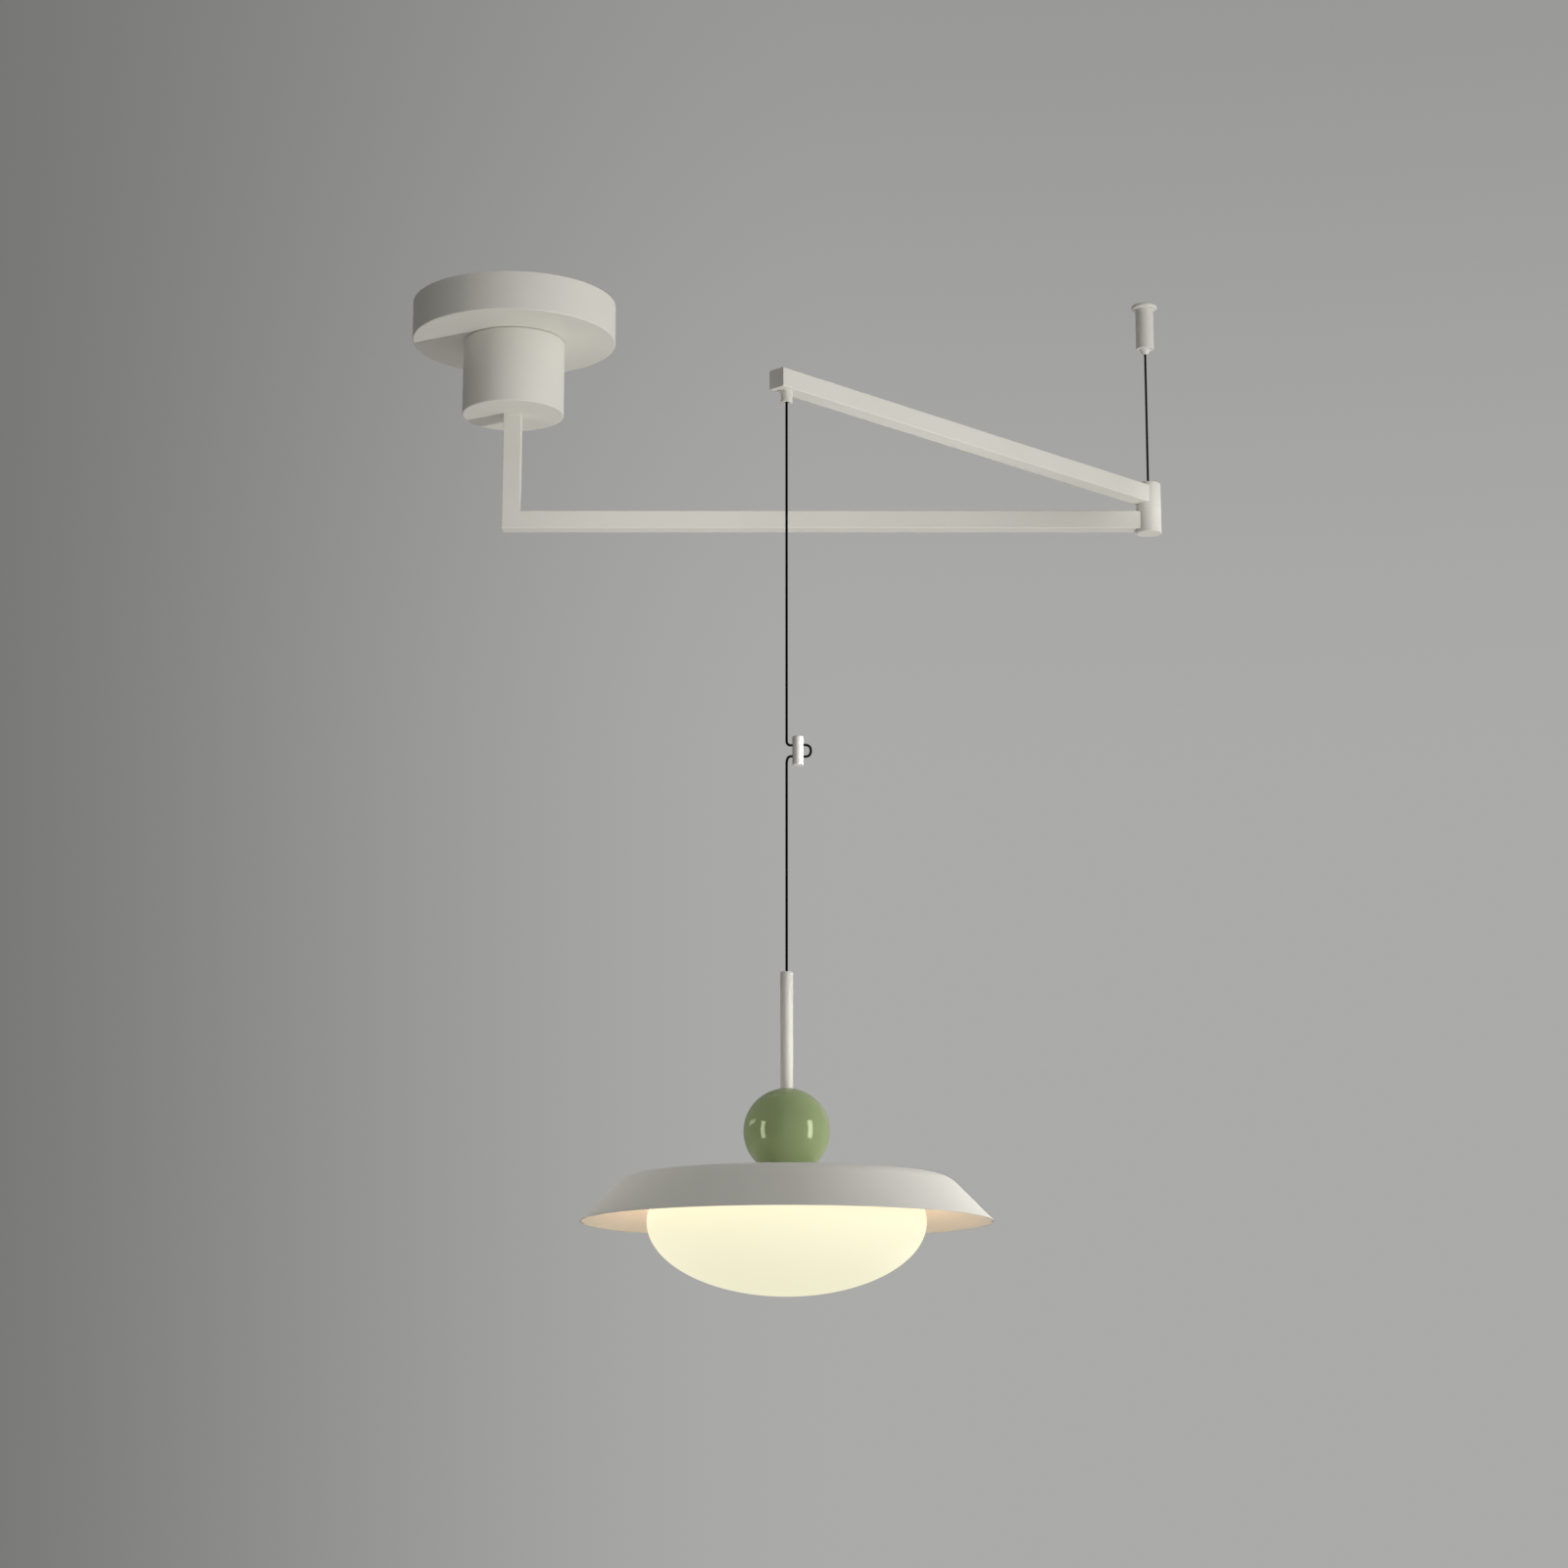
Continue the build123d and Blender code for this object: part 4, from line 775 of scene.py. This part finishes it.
opal_dull = (0.18, 0.175, 0.155)
opal_bright = (0.20, 0.195, 0.175)
foot_light = (0.0865, 0.0833, 0.0600)
rim_light = (0.0990, 0.0943, 0.0672)
neck_light = (1.0, 0.620, 0.390, 1)
foot_light_level = -1.150
rim_light_level = -1.072
neck_light_from = -1.062
neck_light_to = -1.052
opal, shader, place = new_finish(
    "lit_opal_glass", IOR=1.5, Specular_IOR_Level=0.3, Emission_Strength=9.0
)
cloud = speckle(place, 8.0)
etch = speckle(place, 1300.0)
height = place.node("SeparateXYZ", {}, {"Vector": place}, 2)
lower_light = ramp(height, foot_light_level, rim_light_level).between(foot_light, rim_light)
in_the_neck = ramp(height, neck_light_from, neck_light_to)
light = place.node("Mix", {"data_type": "RGBA"}, {0: in_the_neck, 6: lower_light, 7: neck_light}, 2)
cloud.between(opal_dull, opal_bright).feed(shader, "Base Color")
light.feed(shader, "Emission Color")
(0.55 + 0.12 * etch).feed(shader, "Roughness")
place.raised(etch, distance=0.0001, strength=0.06).feed(shader, "Normal")
glass_radius = 0.135
glass_depth = 0.0707
glass_wall = 0.003
neck = 0.104
neck_top = -1.03516
neck_bottom = shade_rim + 0.036
neck_flare = (neck + 0.0015, shade_rim + 0.0336)
bowl_from = 25
bowl_to = -90
bowl_step = -3
tip = 0.0000001
bowl_outline = [(neck, neck_top), (neck, neck_bottom), neck_flare]
for degrees in range(bowl_from, bowl_to, bowl_step):
    angle = math.radians(degrees)
    bowl_outline.append((glass_radius * math.cos(angle), shade_rim + glass_depth * math.sin(angle)))
bowl_outline.append((tip, shade_rim - glass_depth))
bowl = turned("opal_bowl", lamp, bowl_outline, steps=224, ring=False)
walled(bowl, glass_wall)
softened(bowl)
fitted(bowl, "lamp", opal, "opal_glass", "glass_diffuser")

# Ceiling anchor: a small flanged cap over a base plug, with a cable gripper inside and a release nozzle
# at its mouth. Turned from bar and powder coated white.
flange_radius = 0.0145
flange_bottom = -0.0050
cap_radius = 0.0102
cap_inside = 0.0080
cap_mouth_radius = 0.0065
cap_bottom = -0.0525
cap_floor = -0.0470
cap_outline = eased(
    (flange_radius, 0.0, 0.0023),
    (flange_radius, flange_bottom, 0.0023),
    (cap_radius, flange_bottom, 0.0006),
    (cap_radius, cap_bottom, 0.0006),
    (cap_mouth_radius, cap_bottom, 0.0002),
    (cap_mouth_radius, cap_floor, 0),
    (cap_inside, cap_floor, 0),
    (cap_inside, 0.0, 0.0002),
)
anchor_cap = turned("anchor_cap_shell", elbow, cap_outline, steps=96)
softened(anchor_cap)
fitted(anchor_cap, "lower_arm", white, "white_paint", "anchor_cap")
nozzle_radius = 0.0062
nozzle_stem_radius = 0.0040
nozzle_tip_radius = 0.00275
nozzle_bore_radius = 0.00155
nozzle_shoulder = -0.0495
nozzle_tip = -0.0585
nozzle_top = -0.0390
nozzle_outline = eased(
    (nozzle_radius, nozzle_shoulder, 0.0002),
    (nozzle_radius, cap_bottom, 0.0004),
    (nozzle_tip_radius, nozzle_tip, 0.0003),
    (nozzle_bore_radius, nozzle_tip, 0.0002),
    (nozzle_bore_radius, nozzle_top, 0),
    (nozzle_stem_radius, nozzle_top, 0),
    (nozzle_stem_radius, nozzle_shoulder, 0),
)
nozzle = turned("release_tip", elbow, nozzle_outline, steps=72)
softened(nozzle)
fitted(nozzle, "nozzle", white, "white_paint", "release_nozzle")

# Support wire: a steel cable in a black sheath that hangs from the gripper and holds up the elbow. It is
# taut, and ends in a crimped ferrule under the upper post's disc.
wire_top = -0.0270
wire_clear = -0.0735
wire_foot = -0.2163
wire_route = [(*elbow, wire_top), (*elbow, wire_clear), (*elbow, wire_foot)]
support_wire = cord_line("support_cable", wire_route, cord_thickness)
fitted(support_wire, "lower_arm", sleeve, "black_cord", "support_wire")

# Studio: a pale floor far below, a key spot from low on the right, weaker spots on canopy, arms, elbow,
# adjuster, tube and shade, soft boxes at both sides that the ball shows, and a grey surround that is
# darker to the left and above.
floor_dull = (0.80, 0.79, 0.77)
floor_bright = (0.84, 0.83, 0.81)
floor_radius = 9.0
floor_middle = (0.31, -0.2, -2.75)
bpy.ops.object.select_all(action="DESELECT")
bpy.ops.mesh.primitive_circle_add(
    vertices=128, radius=floor_radius, fill_type="NGON", location=floor_middle
)
floor = bpy.context.object
floor.name = "studio_floor"
bpy.ops.object.transform_apply(location=True, rotation=True, scale=True)
matt, shader, place = new_finish("pale_floor", Roughness=0.8)
speckle(place, 30.0, detail=3.0).between(floor_dull, floor_bright).feed(shader, "Base Color")
floor.data.materials.append(matt)

daylight = (1.0, 0.99, 0.96)


def studio_lamp(name, kind, stands_at, aim, power):
    """A daylight lamp of this kind that faces a point."""
    light = bpy.data.lights.new(name, kind)
    light.energy = power
    light.color = daylight
    stand = bpy.data.objects.new(name, light)
    stand.location = stands_at
    facing = [a - b for a, b in zip(aim, stands_at)]
    level_run = math.hypot(facing[0], facing[1])
    rise = math.atan2(facing[2], level_run)
    bearing = math.atan2(facing[1], facing[0])
    stand.rotation_euler = (math.pi / 2 + rise, 0, bearing - math.pi / 2)
    bpy.context.collection.objects.link(stand)
    return stand


def spot(name, stands_at, aim, power, beam, fade, size):
    """A spot with a beam of this many degrees, the share of it that fades, and a lamp of this radius."""
    stand = studio_lamp(name, "SPOT", stands_at, aim, power)
    stand.data.spot_size = math.radians(beam)
    stand.data.spot_blend = fade
    stand.data.shadow_soft_size = size
    return stand


def soft_box(name, stands_at, aim, power, width, height):
    """A flat lamp of this size that faces a point."""
    stand = studio_lamp(name, "AREA", stands_at, aim, power)
    stand.data.shape = "RECTANGLE"
    stand.data.size = width
    stand.data.size_y = height
    return stand


low_right = (2.31, -1.36, -2.53)
right_front = (3.05, -1.63, -1.00)
middle_of_ball = (*lamp, ball_level)
middle_of_tube = (*lamp, (drop_tube_top + drop_tube_bottom) / 2)
spot("key", low_right, (0.35, -0.10, -0.20), power=146.0, beam=18.4, fade=0.35, size=0.05)
spot("canopy_spot", low_right, (0.0, 0.0, -0.08), power=34.0, beam=6.5, fade=0.6, size=0.08)
spot("arm_spot", (-1.436, -1.96, -1.25), (0.30, 0.0, -0.27), power=86.0, beam=14.6, fade=1.0, size=0.12)
spot("low_spot", (1.20, -0.30, -2.65), (0.44, -0.27, -0.23), power=38.0, beam=13.0, fade=0.9, size=0.12)
spot("elbow_spot", (2.90, -1.30, -0.90), (0.722, 0.0, -0.243), power=75.0, beam=1.5, fade=0.5, size=0.03)
spot("grip_spot", (2.70, -1.00, -0.75), (0.322, -0.409, -0.610), power=215.0, beam=1.8, fade=0.3, size=0.03)
spot("tube_spot", (2.85, -1.60, -0.86), middle_of_tube, power=115.0, beam=2.56, fade=0.15, size=0.03)
shade_spot = spot(
    "shade_spot", (2.40, 0.20, -0.45), (0.56, -0.42, -1.075), power=137.0, beam=10.0, fade=0.8, size=0.10
)
left_spot = spot(
    "left_spot", (-1.00, -0.15, -0.72), (0.18, -0.42, -1.05), power=27.0, beam=22.0, fade=0.8, size=0.15
)
right_spot = spot("right_spot", right_front, middle_of_ball, power=160.0, beam=9.5, fade=0.7, size=0.30)
right_box = soft_box("right_box", right_front, middle_of_ball, power=31.5, width=0.74, height=2.50)
left_box = soft_box("left_box", (-0.97, -0.98, -1.00), middle_of_ball, power=3.8, width=0.30, height=1.05)
slanted_box = soft_box(
    "slanted_box", (-1.02, 0.03, -0.57), middle_of_ball, power=0.48, width=0.62, height=0.18
)
slanted_box.rotation_euler.rotate_axis("Z", math.radians(17.8))
side_box = soft_box(
    "side_box", (4.31, 2.59, -0.60), (0.25, -0.25, -0.60), power=31.0, width=1.60, height=2.00
)
for stand in (shade_spot, left_spot, right_spot, side_box):
    stand.visible_glossy = False
for stand in (right_box, left_box, slanted_box):
    stand.visible_diffuse = False

wall_dark = (0.165, 0.165, 0.160)
wall_light = (0.405, 0.404, 0.393)
fill_white = (1.0, 0.996, 0.977)
surround = bpy.data.worlds.new("surround")
bpy.context.scene.world = surround
surround.use_nodes = True
tree = surround.node_tree
sky = tree.nodes["Background"]
path = tree.nodes.new("ShaderNodeLightPath")
outlook = tree.nodes.new("ShaderNodeTexCoord")
seen = Tone(tree, path.outputs["Is Camera Ray"])
mirrored = Tone(tree, path.outputs["Is Glossy Ray"])
through = Tone(tree, path.outputs["Is Transmission Ray"])
ray = Tone(tree, outlook.outputs["Generated"])
across = ray.node("SeparateXYZ", {}, {"Vector": ray}, 0)
upward = ray.node("SeparateXYZ", {}, {"Vector": ray}, 2)
brighter = ramp(across, -0.285, 0.02)
higher = ramp(upward, 0.20, 0.48, To_Min=1.0, To_Max=0.58)
wall_tone = (brighter * higher).between(wall_dark, wall_light)
backdrop = seen.math("MAXIMUM", seen, seen.math("MAXIMUM", mirrored, through))


def glow(direction, edge, full):
    """A soft patch of light on the surround, full within one cosine of its direction, gone at another."""
    nearness = ray.node("VectorMath", {"operation": "DOT_PRODUCT"}, {0: ray, 1: direction}, 1)
    return ramp(nearness, edge, full)


ahead = glow((0.30, -0.954, 0.0), 0.40, 0.90)
beside = glow((0.80, -0.60, 0.0), 0.40, 0.90)
behind = glow((0.0, 1.0, 0.0), 0.40, 0.90)
overhead = glow((0.0, 0.0, 1.0), 0.60, 0.95)
fill = 0.271 * ahead + 0.716 * beside + 0.84 * behind + 0.321 * overhead
fill_tone = fill.between((0.0, 0.0, 0.0), fill_white)
ray.node("Mix", {"data_type": "RGBA"}, {0: backdrop, 6: fill_tone, 7: wall_tone}, 2).feed(sky, "Color")
bpy.context.scene.view_settings.view_transform = "Standard"
